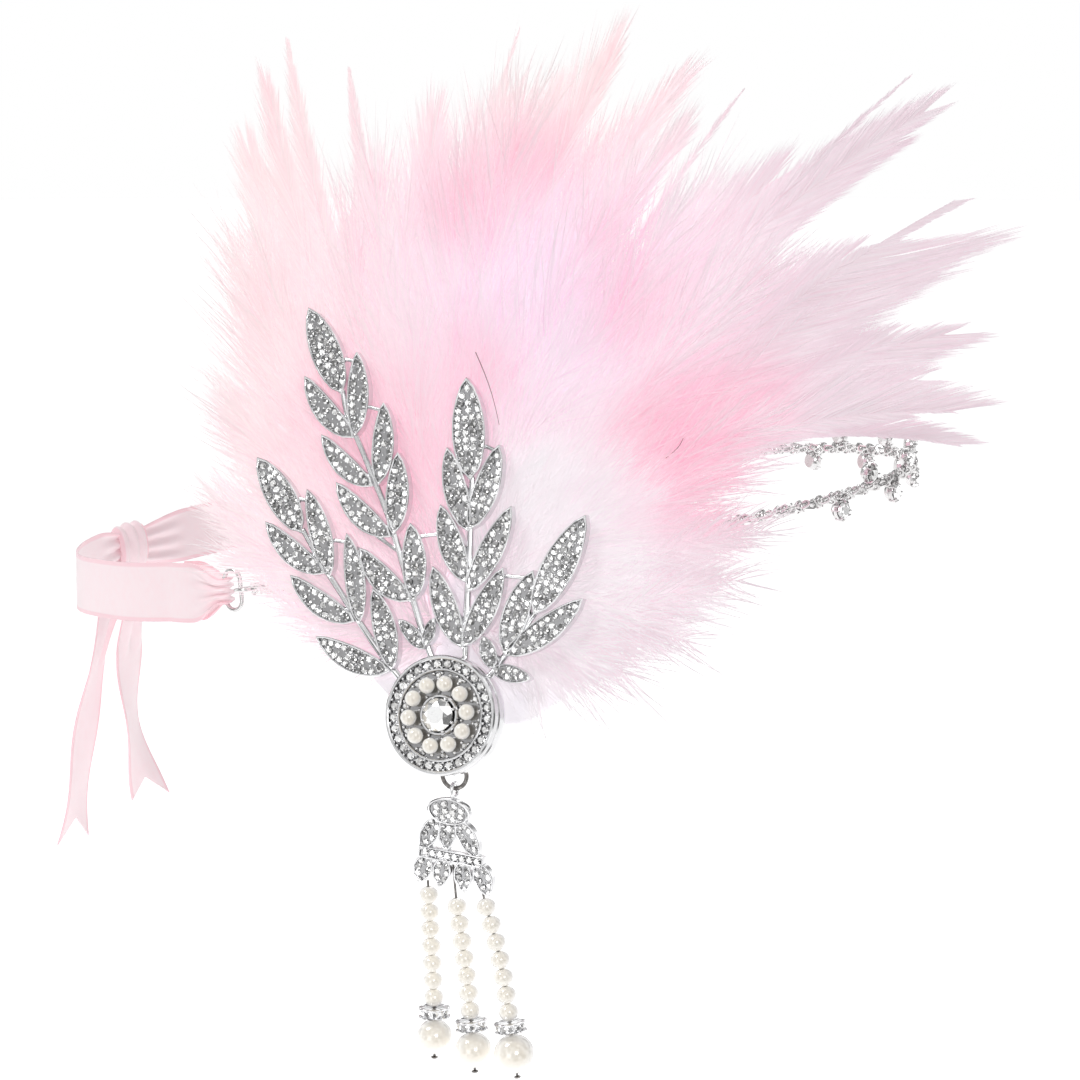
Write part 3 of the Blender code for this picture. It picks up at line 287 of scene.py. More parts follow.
# Straight struts that join neighbouring leaves: u, v to u, v (mm)
STRUTS = [
    (-34.2, 71.6, -26.6, 70.2),
    (-26.2, 61.8, -19.6, 60.4),
    (-24.4, 38.2, -12.6, 31.4),
    (-11.2, 35.2, -3.9, 36.4),
    (-40.6, 42.2, -34.4, 41.4),
    (-31.0, 34.0, -25.0, 33.4),
    (-25.2, 33.6, -21.4, 31.2),
    (-0.2, 55.6, 6.2, 53.2),
    (9.6, 28.6, 15.8, 28.4),
]

# Soft locks of the fan: angle (degrees), reach, depth half way, depth at the tip (mm)
FLUFF_LOCKS = [
    (-84, 48, -8.5, -9.0),
    (-76, 64, -8.5, -7.0),
    (-66, 73, -8.5, -10.0),
    (-55, 82, -11.5, -8.0),
    (-44, 95, -11.5, -13.0),
    (-35, 107, -11.5, -8.0),
    (-26, 110, -11.5, -14.0),
    (-17, 105, -11.5, -6.0),
    (-8, 114, -11.5, -13.0),
    (1, 119, -11.5, -5.0),
    (10, 117, -11.5, -12.0),
    (19, 107, -11.5, -4.0),
    (28, 109, -11.5, -12.0),
    (37, 103, -11.5, -5.0),
    (46, 94, -10.5, -12.0),
    (55, 86, -10.5, -6.0),
    (64, 71, -9.5, -10.0),
    (73, 62, -9.5, -6.0),
    (83, 53, -9.5, -9.0),
    (93, 42, -9.5, -7.0),
    (104, 27, -9.5, -8.0),
]

# Drop casting leaves in the drop's frame: base u and z, tip u and z, width (mm)
DROP_LEAVES = [
    (-3.2, -8.6, -7.2, -15.6, 3.6),
    (-0.9, -7.6, -1.7, -15.6, 3.6),
    (0.8, -8.8, 5.6, -16.4, 3.7),
    (-5.6, -16.4, -7.8, -22.4, 3.8),
    (-2.0, -16.6, -3.1, -23.0, 3.6),
    (1.8, -17.0, 2.5, -23.6, 3.6),
    (5.2, -17.2, 7.9, -23.9, 3.7),
]

# Pearl strands: pin top u and z, top bead u and z, bottom bead u and z, bow, large pearl u, radius (mm)
STRANDS = [
    (-5.9, -21.9, -5.75, -24.9, -4.65, -45.9, 0.0, -4.9, 3.65),
    (-0.3, -18.2, 0.5, -26.7, 3.4, -47.7, 0.2, 3.9, 3.75),
    (6.2, -23.3, 6.9, -26.2, 11.8, -47.2, 0.6, 13.2, 4.10),
]
STRAND_BEADS = 7
PEARL_SEAT = 0.3 * MM

# Hanging ribbon tails: name, side, length, set back (mm)
RIBBON_TAILS = [
    ("ribbon_tail_a", -1, 62.0, 0.9),
    ("ribbon_tail_b", 1, 56.0, -0.9),
]


def from_srgb(red, green, blue):
    """Linear colour from the 0 to 255 values of a paint chip."""
    return tuple(
        part / 255.0 / 12.92 if part <= 10 else ((part / 255.0 + 0.055) / 1.055) ** 2.4
        for part in (red, green, blue))


# Dye of the feathers, with painted shade for the clefts and for the white fluff
BLUSH = from_srgb(253, 232, 243)
# Painted shade of the clefts and barb roots, also the colour that deepens whole feathers at random
DEEP_DYE_AND_SHADE_PINK = from_srgb(249, 160, 194)
PEACH = from_srgb(254, 228, 226)
LILAC = from_srgb(247, 222, 247)
COOL_WHITE = from_srgb(244, 240, 244)
# Painted shade of the white fluff, also the colour of the pointed feathers' quills
QUILL_AND_SHADE_MAUVE = from_srgb(226, 204, 214)
SMOKY_PINK = from_srgb(229, 209, 219)
CREAM = from_srgb(252, 236, 236)
DARK_HAIR = from_srgb(96, 84, 90)

# Where the dye and the painted shade of the clefts lie in the plume: u, v, spread (mm), strength, colour
PLUME_TINTS = [
    (0.0, 60.0, 60.0, 1.0, BLUSH),
    (42.0, 57.0, 7.0, 6.0, DEEP_DYE_AND_SHADE_PINK),
    (49.0, 45.0, 6.0, 5.0, DEEP_DYE_AND_SHADE_PINK),
    (57.0, 66.0, 6.0, 2.4, DEEP_DYE_AND_SHADE_PINK),
    (31.0, 84.0, 6.0, 2.6, DEEP_DYE_AND_SHADE_PINK),
    (26.0, 98.0, 5.0, 2.0, DEEP_DYE_AND_SHADE_PINK),
    (-7.0, 104.0, 6.0, 2.0, DEEP_DYE_AND_SHADE_PINK),
    (8.0, 112.0, 5.0, 1.6, DEEP_DYE_AND_SHADE_PINK),
    (-14.0, 52.0, 10.0, 1.6, DEEP_DYE_AND_SHADE_PINK),
    (-2.0, 70.0, 6.0, 1.8, DEEP_DYE_AND_SHADE_PINK),
    (-30.0, 62.0, 8.0, 1.4, DEEP_DYE_AND_SHADE_PINK),
    (18.0, 90.0, 13.0, 2.2, LILAC),
    (2.0, 78.0, 15.0, 1.0, LILAC),
    (-24.0, 92.0, 16.0, 0.6, LILAC),
    (-54.0, 88.0, 34.0, 2.0, PEACH),
    (20.0, 128.0, 18.0, 1.6, PEACH),
    (44.0, 96.0, 16.0, 1.2, BLUSH),
    (88.0, 60.0, 24.0, 3.0, SMOKY_PINK),
    (88.0, 110.0, 28.0, 3.0, SMOKY_PINK),
    (30.0, 24.0, 15.0, 7.0, COOL_WHITE),
    (16.0, 42.0, 7.0, 5.0, COOL_WHITE),
    (58.0, 34.0, 9.0, 2.4, QUILL_AND_SHADE_MAUVE),
]

# Dye and painted shade of the white fluff
WHITE_TINTS = [
    (14.0, 34.0, 40.0, 1.0, COOL_WHITE),
    (52.0, 28.0, 15.0, 2.4, QUILL_AND_SHADE_MAUVE),
    (38.0, 14.0, 9.0, 1.6, SMOKY_PINK),
    (44.0, 46.0, 10.0, 1.6, BLUSH),
]

# Pointed feathers: angle, reach, depth half way, depth at the tip, sideways bend (mm), kind, side shares
FEATHERS = [
    (-31.5, 113, -11.5, -12.0, -5.0, "wide", 0.9, 0.9),
    (-26.5, 122, -11.5, -9.0, -6.0, "wide", 0.8, 0.6),
    (-22.9, 131, -11.5, -8.0, -6.0, "spire", 1.1, 0.9),
    (-18.3, 122, -11.5, -12.0, -3.0, "spire", 0.8, 0.8),
    (-8.6, 102, -11.5, -6.0, -7.0, "wide", 1.0, 1.0),
    (0.1, 124, -11.5, -10.0, -9.0, "wisp", 1.0, 1.0),
    (5.0, 108, -11.5, -9.0, -9.0, "wide", 0.9, 0.9),
    (10.6, 117, -11.5, -6.0, -11.0, "wide", 1.2, 0.8),
    (16.7, 116, -11.5, -11.0, -11.0, "wide", 0.8, 1.0),
    (20.0, 106, -11.5, -8.0, -10.0, "wide", 1.0, 0.8),
    (24.7, 122, -11.5, -6.0, -8.0, "wisp", 1.0, 1.0),
    (31.0, 108, -11.5, -10.0, -9.0, "hackle", 0.8, 0.7),
    (35.2, 119, -11.5, -9.0, -7.0, "wisp", 1.3, 1.3),
    (36.9, 142, -11.5, -5.0, -9.0, "wisp", 1.0, 1.0),
    (39.5, 138, -11.5, -6.0, -13.0, "strap", 1.0, 0.9),
    (38.6, 128, -11.5, -8.0, -13.0, "strap", 0.8, 1.0),
    (42.8, 104, -11.5, -9.0, -9.0, "hackle", 0.8, 0.7),
    (46.9, 131, -10.5, -6.0, -9.0, "flag", 0.12, 1.0),
    (48.5, 112, -10.5, -7.0, -9.0, "hackle", 0.3, 0.9),
    (52.0, 100, -10.5, -9.0, -9.0, "hackle", 0.7, 0.8),
    (55.9, 114, -10.5, -8.0, -11.0, "hackle", 0.5, 0.9),
    (58.0, 104, -10.5, -8.0, -11.0, "hackle", 0.6, 0.7),
    (63.5, 110, -9.5, -5.0, -14.0, "hackle", 0.8, 0.15),
    (61.0, 100, -9.5, -6.0, -12.0, "hackle", 0.6, 0.4),
    (66.4, 108, -9.5, -9.0, -17.0, "strap", 0.8, 0.2),
]

# Loose dark hairs on the fluff: u, v at each end (mm)
DARK_HAIRS = [
    (-0.5, 73.0, 6.2, 58.5),
    (42.0, 53.5, 45.5, 57.5),
]


def band_point(angle, standoff=0.0):
    """Point on the band loop: angle 0 is the forehead and 90 degrees the right side."""
    across = BAND_HALF_WIDTH + standoff
    along = BAND_HALF_LENGTH + standoff
    height = FRONT_RISE * along * math.cos(angle) - RIGHT_DROP * across * math.sin(angle)
    return Vector((-across * math.sin(angle), -along * math.cos(angle), height))


def angle_of(distance, angle):
    """Angle that moves a point this distance along the band, near an angle."""
    speed = Vector((BAND_HALF_WIDTH * math.cos(angle), BAND_HALF_LENGTH * math.sin(angle))).length
    return distance / speed


def band_axes(angle):
    """Forward, outward and upward directions of the band at an angle."""
    step = 0.01
    forward = (band_point(angle - step) - band_point(angle + step)).normalized()
    outward = Vector((-math.sin(angle) / BAND_HALF_WIDTH, -math.cos(angle) / BAND_HALF_LENGTH, 0.0))
    outward = (outward - forward * outward.dot(forward)).normalized()
    upward = outward.cross(forward)
    if upward.z < 0.0:
        upward = -upward
    return forward, outward, upward


def band_frame(angle, standoff):
    """Matrix at the band with X forward, Y upward and Z outward."""
    forward, outward, upward = band_axes(angle)
    turned = Matrix((upward.cross(outward), upward, outward)).transposed().to_4x4()
    return Matrix.Translation(band_point(angle, standoff)) @ turned


def frame_matrix(normal, centre):
    """Matrix whose third axis is the normal and whose first axis is level."""
    across = Vector((0.0, 0.0, 1.0)).cross(normal).normalized()
    turned = Matrix((across, normal.cross(across), normal)).transposed().to_4x4()
    return Matrix.Translation(centre) @ turned


def brooch_matrix():
    """Frame of the brooch, with its face along w."""
    normal = Vector((
        -math.cos(BROOCH_TURN) * math.cos(BROOCH_LEAN),
        -math.sin(BROOCH_TURN) * math.cos(BROOCH_LEAN), math.sin(BROOCH_LEAN)))
    return frame_matrix(normal, BROOCH_CENTRE)


def drop_pivot():
    """Middle of the jump ring's wire where it hangs in the eyelet."""
    seat = EYELET_RADIUS - EYELET_WIRE - GAP - RING_LINK_WIRE
    u, v, w = EYELET_PLACE
    return brooch_matrix() @ Vector((u, v - seat, w))


def drop_matrix():
    """Frame of the hanging drop: upright, with its origin in the middle of the jump ring."""
    normal = Vector((-math.cos(BROOCH_TURN), -math.sin(BROOCH_TURN), 0.0))
    return frame_matrix(normal, drop_pivot() - Vector((0.0, 0.0, JUMP_RING_RADIUS)))


BROOCH = brooch_matrix()
DROP = drop_matrix()


class Wire:
    """A node socket that Python arithmetic can be done on."""

    def __init__(self, finish, socket):
        self.finish = finish
        self.socket = socket

    def joined(self, operation, other, swapped=False):
        """Math node of this value and another one."""
        pair = (other, self) if swapped else (self, other)
        return self.finish.node("ShaderNodeMath", {"operation": operation}, dict(enumerate(pair)))

    def __add__(self, other):
        return self.joined("ADD", other)

    def __radd__(self, other):
        return self.joined("ADD", other, swapped=True)

    def __sub__(self, other):
        return self.joined("SUBTRACT", other)

    def __rsub__(self, other):
        return self.joined("SUBTRACT", other, swapped=True)

    def __mul__(self, other):
        return self.joined("MULTIPLY", other)

    def __rmul__(self, other):
        return self.joined("MULTIPLY", other, swapped=True)

    def called(self, operation, other=0.0):
        """Math node by the name of its operation, such as SINE."""
        return self.joined(operation, other)


class Finish:
    """A material, built from nodes that all come from one method."""

    def __init__(self, name, colour, roughness, metallic=0.0, **constants):
        self.material = bpy.data.materials.new(name)
        self.material.use_nodes = True
        self.material.diffuse_color = (*colour, 1.0)
        self.tree = self.material.node_tree
        self.shader = self.tree.nodes["Principled BSDF"]
        self.feed("Base Color", colour)
        self.feed("Roughness", roughness)
        self.feed("Metallic", metallic)
        for socket, value in constants.items():
            self.feed(socket.replace("_", " "), value)

    def place(self, socket, value):
        """Link a wire to a socket, or set its value."""
        if isinstance(value, Wire):
            self.tree.links.new(value.socket, socket)
        elif socket.type == "RGBA":
            socket.default_value = (*tuple(value)[:3], 1.0)
        else:
            socket.default_value = value

    def feed(self, name, value):
        """Give the surface shader one of its inputs."""
        self.place(self.shader.inputs[name], value)

    def node(self, kind, settings=None, inputs=None, output=0):
        """Any node: its settings are made first, then its sockets."""
        made = self.tree.nodes.new(kind)
        for name, value in (settings or {}).items():
            setattr(made, name, value)
        for name, value in (inputs or {}).items():
            self.place(made.inputs[name], value)
        return Wire(self, made.outputs[output])

    def spot(self):
        """Coordinates on the object, in metres."""
        return self.node("ShaderNodeTexCoord", output="Object")

    def noise(self, scale, detail=2.0, roughness=0.5):
        """Noise value about 0.5, its scale in waves a metre."""
        return self.node("ShaderNodeTexNoise", {"noise_dimensions": "3D"}, {
            "Vector": self.spot(), "Scale": scale, "Detail": detail, "Roughness": roughness})

    def scaled(self, wire, low, high, new_low, new_high):
        """Value taken from one range to another, and held inside it."""
        return self.node("ShaderNodeMapRange", {"clamp": True}, {
            "Value": wire, "From Min": low, "From Max": high, "To Min": new_low, "To Max": new_high})

    def mix(self, factor, first, second, blend="MIX"):
        """Colour between two colours."""
        made = self.tree.nodes.new("ShaderNodeMix")
        made.data_type = "RGBA"
        made.blend_type = blend
        self.place(made.inputs[0], factor)
        self.place(made.inputs[6], first)
        self.place(made.inputs[7], second)
        return Wire(self, made.outputs[2])

    def attribute(self, name, output="Fac"):
        """Value or colour stored on the mesh."""
        return self.node("ShaderNodeAttribute", {"attribute_name": name}, output=output)

    def bump(self, height, strength, distance):
        """Relief from a height value."""
        relief = self.node("ShaderNodeBump", None, {
            "Height": height, "Strength": strength, "Distance": distance}, output="Normal")
        self.feed("Normal", relief)


def settings():
    """The sizes and colours that a user may change."""
    return bpy.context.scene.headband


def leave_edit_mode():
    """Back to object mode, with nothing selected."""
    if bpy.context.mode != "OBJECT":
        bpy.ops.object.mode_set(mode="OBJECT")
    bpy.ops.object.select_all(action="DESELECT")


def hold(thing):
    """Select one object alone and make it the active one."""
    leave_edit_mode()
    thing.select_set(True)
    bpy.context.view_layer.objects.active = thing
    return thing


def edit(thing):
    """Edit one object's mesh with nothing in it selected."""
    hold(thing)
    bpy.ops.object.mode_set(mode="EDIT")
    bpy.ops.mesh.select_mode(type="FACE")
    bpy.ops.mesh.select_all(action="DESELECT")


def pick_faces(thing, test):
    """Select the faces of the edited mesh that pass a test."""
    bm = bmesh.from_edit_mesh(thing.data)
    for face in bm.faces:
        face.select_set(bool(test(face)))
    bmesh.update_edit_mesh(thing.data)


def apply_modifiers(thing):
    """Make every modifier part of the mesh."""
    hold(thing)
    for modifier in list(thing.modifiers):
        bpy.ops.object.modifier_apply(modifier=modifier.name)
    return thing


def bevel(thing, width, segments=2, angle=35.0):
    """Round the sharp edges."""
    modifier = thing.modifiers.new("edges", "BEVEL")
    modifier.width = width
    modifier.segments = segments
    modifier.limit_method = "ANGLE"
    modifier.angle_limit = math.radians(angle)
    modifier.use_clamp_overlap = True
    return apply_modifiers(thing)


def smooth(thing, angle=40.0):
    """Shade round surfaces smooth and keep sharp edges."""
    hold(thing)
    bpy.ops.object.shade_smooth_by_angle(angle=math.radians(angle))
    return thing


def outward_normals(thing):
    """Weld double corners and turn every face outwards."""
    edit(thing)
    bpy.ops.mesh.select_all(action="SELECT")
    bpy.ops.mesh.remove_doubles(threshold=0.0000005)
    bpy.ops.mesh.normals_make_consistent(inside=False)
    leave_edit_mode()
    return thing


def placed(thing, matrix):
    """Put a place into the mesh, so that the object itself sits at the origin."""
    thing.data.transform(matrix @ thing.matrix_world)
    thing.matrix_world = Matrix.Identity(4)
    thing.data.update()
    return thing


def linked(name, mesh):
    """New object with this mesh."""
    made = bpy.data.objects.new(name, mesh)
    bpy.context.scene.collection.objects.link(made)
    return made


def joined(name, things):
    """One object from several."""
    leave_edit_mode()
    for thing in things:
        thing.select_set(True)
    bpy.context.view_layer.objects.active = things[0]
    bpy.ops.object.join()
    things[0].name = name
    things[0].data.name = name
    leave_edit_mode()
    return things[0]


def removed(thing):
    """Take away a unit shape once its copies are made."""
    bpy.data.objects.remove(thing, do_unlink=True)


def mesh_arrays(mesh):
    """Corners and faces of a mesh as arrays and lists."""
    corners = np.empty(len(mesh.vertices) * 3)
    mesh.vertices.foreach_get("co", corners)
    faces = [tuple(face.vertices) for face in mesh.polygons]
    return corners.reshape(-1, 3), faces


def stored(mesh, name, values):
    """Keep one value to a corner on a mesh."""
    layer = mesh.attributes.new(name, "FLOAT", "POINT")
    layer.data.foreach_set("value", np.array(values, dtype=np.float32))


def bed_marked(thing, height, reach=0.05 * MM):
    """Mark the corners that lie at the height of a stone bed, for the painted shade there."""
    stored(thing.data, "bed", [float(abs(corner.co.z - height) < reach) for corner in thing.data.vertices])
    return thing


def round_spot(radius, turn, height):
    """Place on a circle about the local Z axis."""
    return Vector((radius * math.cos(turn), radius * math.sin(turn), height))


def repeated(name, unit, places, shading=True):
    """One object that holds a copy of the unit at each place."""
    corners, faces = mesh_arrays(unit.data)
    turned = np.array([np.array(place) for place in places])
    spread = np.einsum("nij,vj->nvi", turned[:, :3, :3], corners) + turned[:, None, :3, 3]
    every = [
        tuple(index + copy * len(corners) for index in face)
        for copy in range(len(places)) for face in faces]
    mesh = bpy.data.meshes.new(name)
    mesh.from_pydata(spread.reshape(-1, 3), [], every)
    flags = [face.use_smooth for face in unit.data.polygons] * len(places)
    mesh.polygons.foreach_set("use_smooth", flags)
    numbers = np.repeat(np.random.default_rng(len(places)).random(len(places)), len(corners))
    stored(mesh, "copy", numbers)
    mesh.update()
    made = linked(name, mesh)
    return smooth(made) if shading else made


def dressed(thing, finish, body, replaces=()):
    """Give a finished piece its material, its body and the nodes that it stands for."""
    thing.data.materials.clear()
    thing.data.materials.append(finish_of(finish))
    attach(thing, body)
    if replaces:
        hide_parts(*replaces)
    leave_edit_mode()
    return thing


def smooth_line(points, steps):
    """Points of a curve that passes softly through the given ones."""
    ends = [points[0] * 2 - points[1], *points, points[-1] * 2 - points[-2]]
    line = []
    for index in range(1, len(ends) - 2):
        a, b, c, d = ends[index - 1:index + 3]
        for step in range(steps):
            s = step / steps
            line.append(0.5 * (
                b * 2 + (c - a) * s + (a * 2 - b * 5 + c * 4 - d) * s ** 2
                + (b * 3 - a - c * 3 + d) * s ** 3))
    line.append(points[-1])
    return line


def tube(name, points, radius, resolution=3, radii=None, closed=False):
    """Round wire through points, made as a bevelled curve and then a mesh."""
    curve = bpy.data.curves.new(name, "CURVE")
    curve.dimensions = "3D"
    curve.bevel_depth = radius
    curve.bevel_resolution = resolution
    curve.use_fill_caps = not closed
    spline = curve.splines.new("POLY")
    spline.points.add(len(points) - 1)
    for index, place in enumerate(points):
        spline.points[index].co = (*place, 1.0)
        spline.points[index].radius = radii[index] if radii else 1.0
    spline.use_cyclic_u = closed
    made = linked(name, curve)
    hold(made)
    bpy.ops.object.convert(target="MESH")
    return outward_normals(bpy.context.object)


def lathe(name, profile, steps):
    """Turned piece about Z from an (r, z) profile."""
    mesh = bpy.data.meshes.new(name)
    edges = [(index, index + 1) for index in range(len(profile) - 1)]
    if profile[0][0] > 0.0:
        edges.append((len(profile) - 1, 0))
    mesh.from_pydata([(r, 0.0, z) for r, z in profile], edges, [])
    made = linked(name, mesh)
    turn = made.modifiers.new("turn", "SCREW")
    turn.steps = steps
    turn.render_steps = steps
    turn.use_merge_vertices = True
    turn.merge_threshold = 0.0000005
    apply_modifiers(made)
    return outward_normals(made)


def cut_stone(name, rings):
    """Cut stone of radius 1: rings of (radius, height, corners, turn) closed over by flat facets."""
    leave_edit_mode()
    radius, height, corners, turn = rings[0]
    bpy.ops.mesh.primitive_circle_add(
        vertices=corners, radius=radius, location=(0.0, 0.0, height), rotation=(0.0, 0.0, turn))
    stone = bpy.context.object
    stone.name = name
    bpy.ops.object.transform_apply(location=True, rotation=True, scale=True)
    bpy.ops.object.mode_set(mode="EDIT")
    for radius, height, corners, turn in rings[1:]:
        bpy.ops.mesh.primitive_circle_add(
            vertices=corners, radius=radius, location=(0.0, 0.0, height), rotation=(0.0, 0.0, turn))
    bpy.ops.mesh.select_all(action="SELECT")
    bpy.ops.mesh.convex_hull()
    bpy.ops.mesh.dissolve_limited(angle_limit=math.radians(1.0))
    leave_edit_mode()
    return outward_normals(stone)


def small_stone():
    """Small round stone of radius 1, with a table, eight crown facets and a short skirt."""
    half = math.pi / 8
    return cut_stone("small_stone", [
        (0.55, 0.42, 8, half), (1.0, 0.02, 8, 0.0), (0.96, -0.06, 8, 0.0), (0.45, -0.45, 4, half)])


def metal_bead(name, segments, rings):
    """Polished grain of radius 1."""
    leave_edit_mode()
    bpy.ops.mesh.primitive_uv_sphere_add(segments=segments, ring_count=rings, radius=1.0)
    bead = bpy.context.object
    bead.name = name
    return smooth(bead, 60.0)


def aimed(place, axis):
    """Matrix that puts local Z along an axis at a place."""
    turned = Vector((0.0, 0.0, 1.0)).rotation_difference(Vector(axis).normalized()).to_matrix().to_4x4()
    return Matrix.Translation(place) @ turned


def at(place, size=1.0, turn=0.0):
    """Matrix at a place, turned about Z and scaled."""
    return Matrix.Translation(place) @ Matrix.Rotation(turn, 4, "Z") @ Matrix.Scale(size, 4)


def silver_finish(name, colour, roughness, bed_shade=0.0):
    """Bright plated silver: faint handling marks, and painted shade that darkens the metal down in the beds.
    """
    made = Finish(name, colour, roughness, 1.0)
    marks = made.noise(900.0, 4.0, 0.6)
    made.feed("Roughness", made.scaled(marks, 0.35, 0.75, roughness * 0.75, roughness * 1.5))
    cloud = made.scaled(made.noise(260.0, 2.0), 0.4, 0.7, 0.0, 0.35)
    shaded = made.mix(cloud, colour, tuple(0.72 * part for part in colour))
    if bed_shade:
        # painted shade: corners marked as bed are mixed towards near black
        depth = made.attribute("bed") * bed_shade
        shaded = made.mix(depth, shaded, (0.10, 0.10, 0.105))
    made.feed("Base Color", shaded)
    made.bump(marks, 0.15, 0.00003)
    return made.material


def stone_finish(name):
    """Clear foil-backed stone: mirror facets, some of them painted dark as painted reflections, each stone a
    little different.
    """
    made = Finish(name, settings().stone_colour, 0.06, 0.88, Coat_Weight=1.0, Coat_Roughness=0.02)
    own = made.attribute("copy")
    facets = made.noise(2600.0, 1.0)
    # painted reflection: noise, a little different on each stone, darkens the colour of some facets
    dark = made.scaled(facets * 0.7 + own * 0.4, 0.45, 0.80, 0.0, 0.55)
    made.feed("Base Color", made.mix(dark, settings().stone_colour, (0.30, 0.29, 0.28)))
    made.feed("Roughness", made.scaled(facets, 0.3, 0.7, 0.03, 0.12))
    return made.material


def pearl_finish(name):
    """Ivory pearl under a clear nacre coat: painted shade makes it warmer where it faces the eye, a painted
    sheen whiter at its edge, and a faint painted glow lifts it.
    """
    colour = settings().pearl_colour
    made = Finish(name, colour, 0.16, 0.0, Coat_Weight=1.0, Coat_Roughness=0.04, Coat_IOR=1.8)
    cloud = made.scaled(made.noise(420.0, 2.0), 0.35, 0.7, 0.0, 0.3)
    # painted shade and sheen: the colour follows how squarely the surface faces the eye
    facing = made.node("ShaderNodeLayerWeight", None, {"Blend": 0.5}, output="Facing")
    warm = made.mix(cloud, tuple(a * b for a, b in zip(colour, (0.95, 0.90, 0.82))), colour)
    edge = made.scaled(facing, 0.12, 0.60, 0.0, 1.0)
    made.feed("Base Color", made.mix(edge, warm, (0.98, 0.97, 0.95)))
    # painted glow: the pearl gives off a little light of its own colour
    made.feed("Emission Color", warm)
    made.feed("Emission Strength", 0.14)
    made.feed("Roughness", made.scaled(made.noise(1500.0, 3.0), 0.3, 0.7, 0.12, 0.22))
    made.bump(made.noise(1800.0, 2.0), 0.04, 0.00002)
    return made.material


def wire_finish(name):
    """Dark plated wire with brighter rubbed patches."""
    made = Finish(name, (0.30, 0.285, 0.27), 0.28, 1.0)
    rubbed = made.scaled(made.noise(700.0, 3.0), 0.45, 0.7, 0.0, 0.8)
    made.feed("Base Color", made.mix(rubbed, (0.16, 0.15, 0.145), (0.48, 0.46, 0.44)))
    made.feed("Roughness", made.scaled(made.noise(1600.0, 3.0), 0.3, 0.7, 0.2, 0.4))
    return made.material


def feather_finish(name):
    """Dyed feather: each barb stores its tint, dye with painted shade, and a glow stands for the light that
    barbs pass on.
    """
    made = Finish(name, BLUSH, 0.85, 0.0, Specular_IOR_Level=0.15)
    tint = made.attribute("tint", "Color")
    cloud = made.scaled(made.noise(110.0, 3.0, 0.6), 0.45, 0.70, 0.0, settings().dye_patches)
    # dyed holds the dye and the painted shade that the barbs store in their tint
    dyed = made.mix(cloud, tint, made.mix(1.0, tint, settings().dye_colour, "MULTIPLY"))
    barb = made.mix(settings().barb_paleness, dyed, (0.70, 0.70, 0.70))
    made.feed("Base Color", barb)
    made.feed("Emission Color", dyed)
    made.feed("Emission Strength", settings().feather_glow)
    return made.material


def hair_finish(name):
    """Dark hair, a little lighter in places."""
    made = Finish(name, DARK_HAIR, 0.6)
    made.feed("Base Color", made.mix(made.noise(900.0), DARK_HAIR, tuple(1.5 * part for part in DARK_HAIR)))
    made.feed("Roughness", made.scaled(made.noise(700.0), 0.3, 0.7, 0.5, 0.7))
    return made.material


def felt_finish(name):
    """Pale felt with matted fibres, and a painted glow that lifts its shade."""
    made = Finish(name, (0.84, 0.80, 0.88), 0.95, 0.0, Sheen_Weight=0.4, Sheen_Roughness=0.6)
    fibres = made.noise(2200.0, 5.0, 0.7)
    blotch = made.scaled(made.noise(300.0, 3.0), 0.4, 0.65, 0.0, 0.5)
    felt = made.mix(blotch, (0.97, 0.94, 0.97), (0.91, 0.88, 0.94))
    made.feed("Base Color", felt)
    # painted glow: the felt gives off light of its own colour
    made.feed("Emission Color", felt)
    made.feed("Emission Strength", 0.30)
    made.feed("Roughness", made.scaled(fibres, 0.3, 0.7, 0.85, 1.0))
    made.bump(fibres, 0.6, 0.0002)
    return made.material


def satin_finish(name):
    """Satin: fine weft lines across the ribbon, a woven edge, a slow change of sheen and a faint painted
    glow.
    """
    colour = settings().satin_colour
    made = Finish(name, colour, 0.36, 0.0, Sheen_Weight=0.5, Sheen_Roughness=0.3, Anisotropic=0.4)
    across = made.node("ShaderNodeSeparateXYZ", None, {
        "Vector": made.node("ShaderNodeUVMap", {"uv_map": "cloth"})}, output="X")
    along = made.node("ShaderNodeSeparateXYZ", None, {
        "Vector": made.node("ShaderNodeUVMap", {"uv_map": "cloth"})}, output="Y")
    edge = made.scaled((across - 0.5).called("ABSOLUTE"), 0.415, 0.44, 0.0, 1.0)
    weft = (along * 24000.0).called("SINE")
    warp = (across * 420.0).called("SINE")
    slub = made.scaled(made.noise(500.0, 3.0), 0.4, 0.7, 0.0, 0.4)
    body = made.mix(slub, colour, tuple(a * b for a, b in zip(colour, (0.99, 0.93, 0.94))))
    rim = tuple(a * b for a, b in zip(colour, (0.99, 0.84, 0.87)))
    woven = made.mix(edge, body, rim)
    made.feed("Base Color", woven)
    # painted glow: the satin gives off a little light of its own colour
    made.feed("Emission Color", woven)
    made.feed("Emission Strength", 0.10)
    made.feed("Roughness", made.scaled(warp, -1.0, 1.0, 0.30, 0.44) + edge * 0.15)
    made.bump(weft * 0.35 + warp * 0.45 + edge * 2.0, 0.25, 0.00004)
    return made.material


FINISHES = {}


def finish_of(name):
    """Each material once, by its name."""
    drum_colour = tuple(0.92 * part for part in settings().silver_colour)
    makers = {
        # The last number of cast_silver and drum_silver is the strength of the painted shade in their beds
        "cast_silver": lambda: silver_finish("cast_silver", settings().silver_colour, 0.17, 0.55),
        "drum_silver": lambda: silver_finish("drum_silver", drum_colour, 0.14, 0.62),
        "chain_silver": lambda: silver_finish("chain_silver", (0.72, 0.71, 0.71), 0.18),
        "clear_stone": lambda: stone_finish("clear_stone"),
        "pearl": lambda: pearl_finish("pearl"),
        "dark_wire": lambda: wire_finish("dark_wire"),
        "feather": lambda: feather_finish("feather"),
        "dark_hair": lambda: hair_finish("dark_hair"),
        "felt": lambda: felt_finish("felt"),
        "satin": lambda: satin_finish("satin"),
    }
    if name not in FINISHES:
        FINISHES[name] = makers[name]()
    return FINISHES[name]


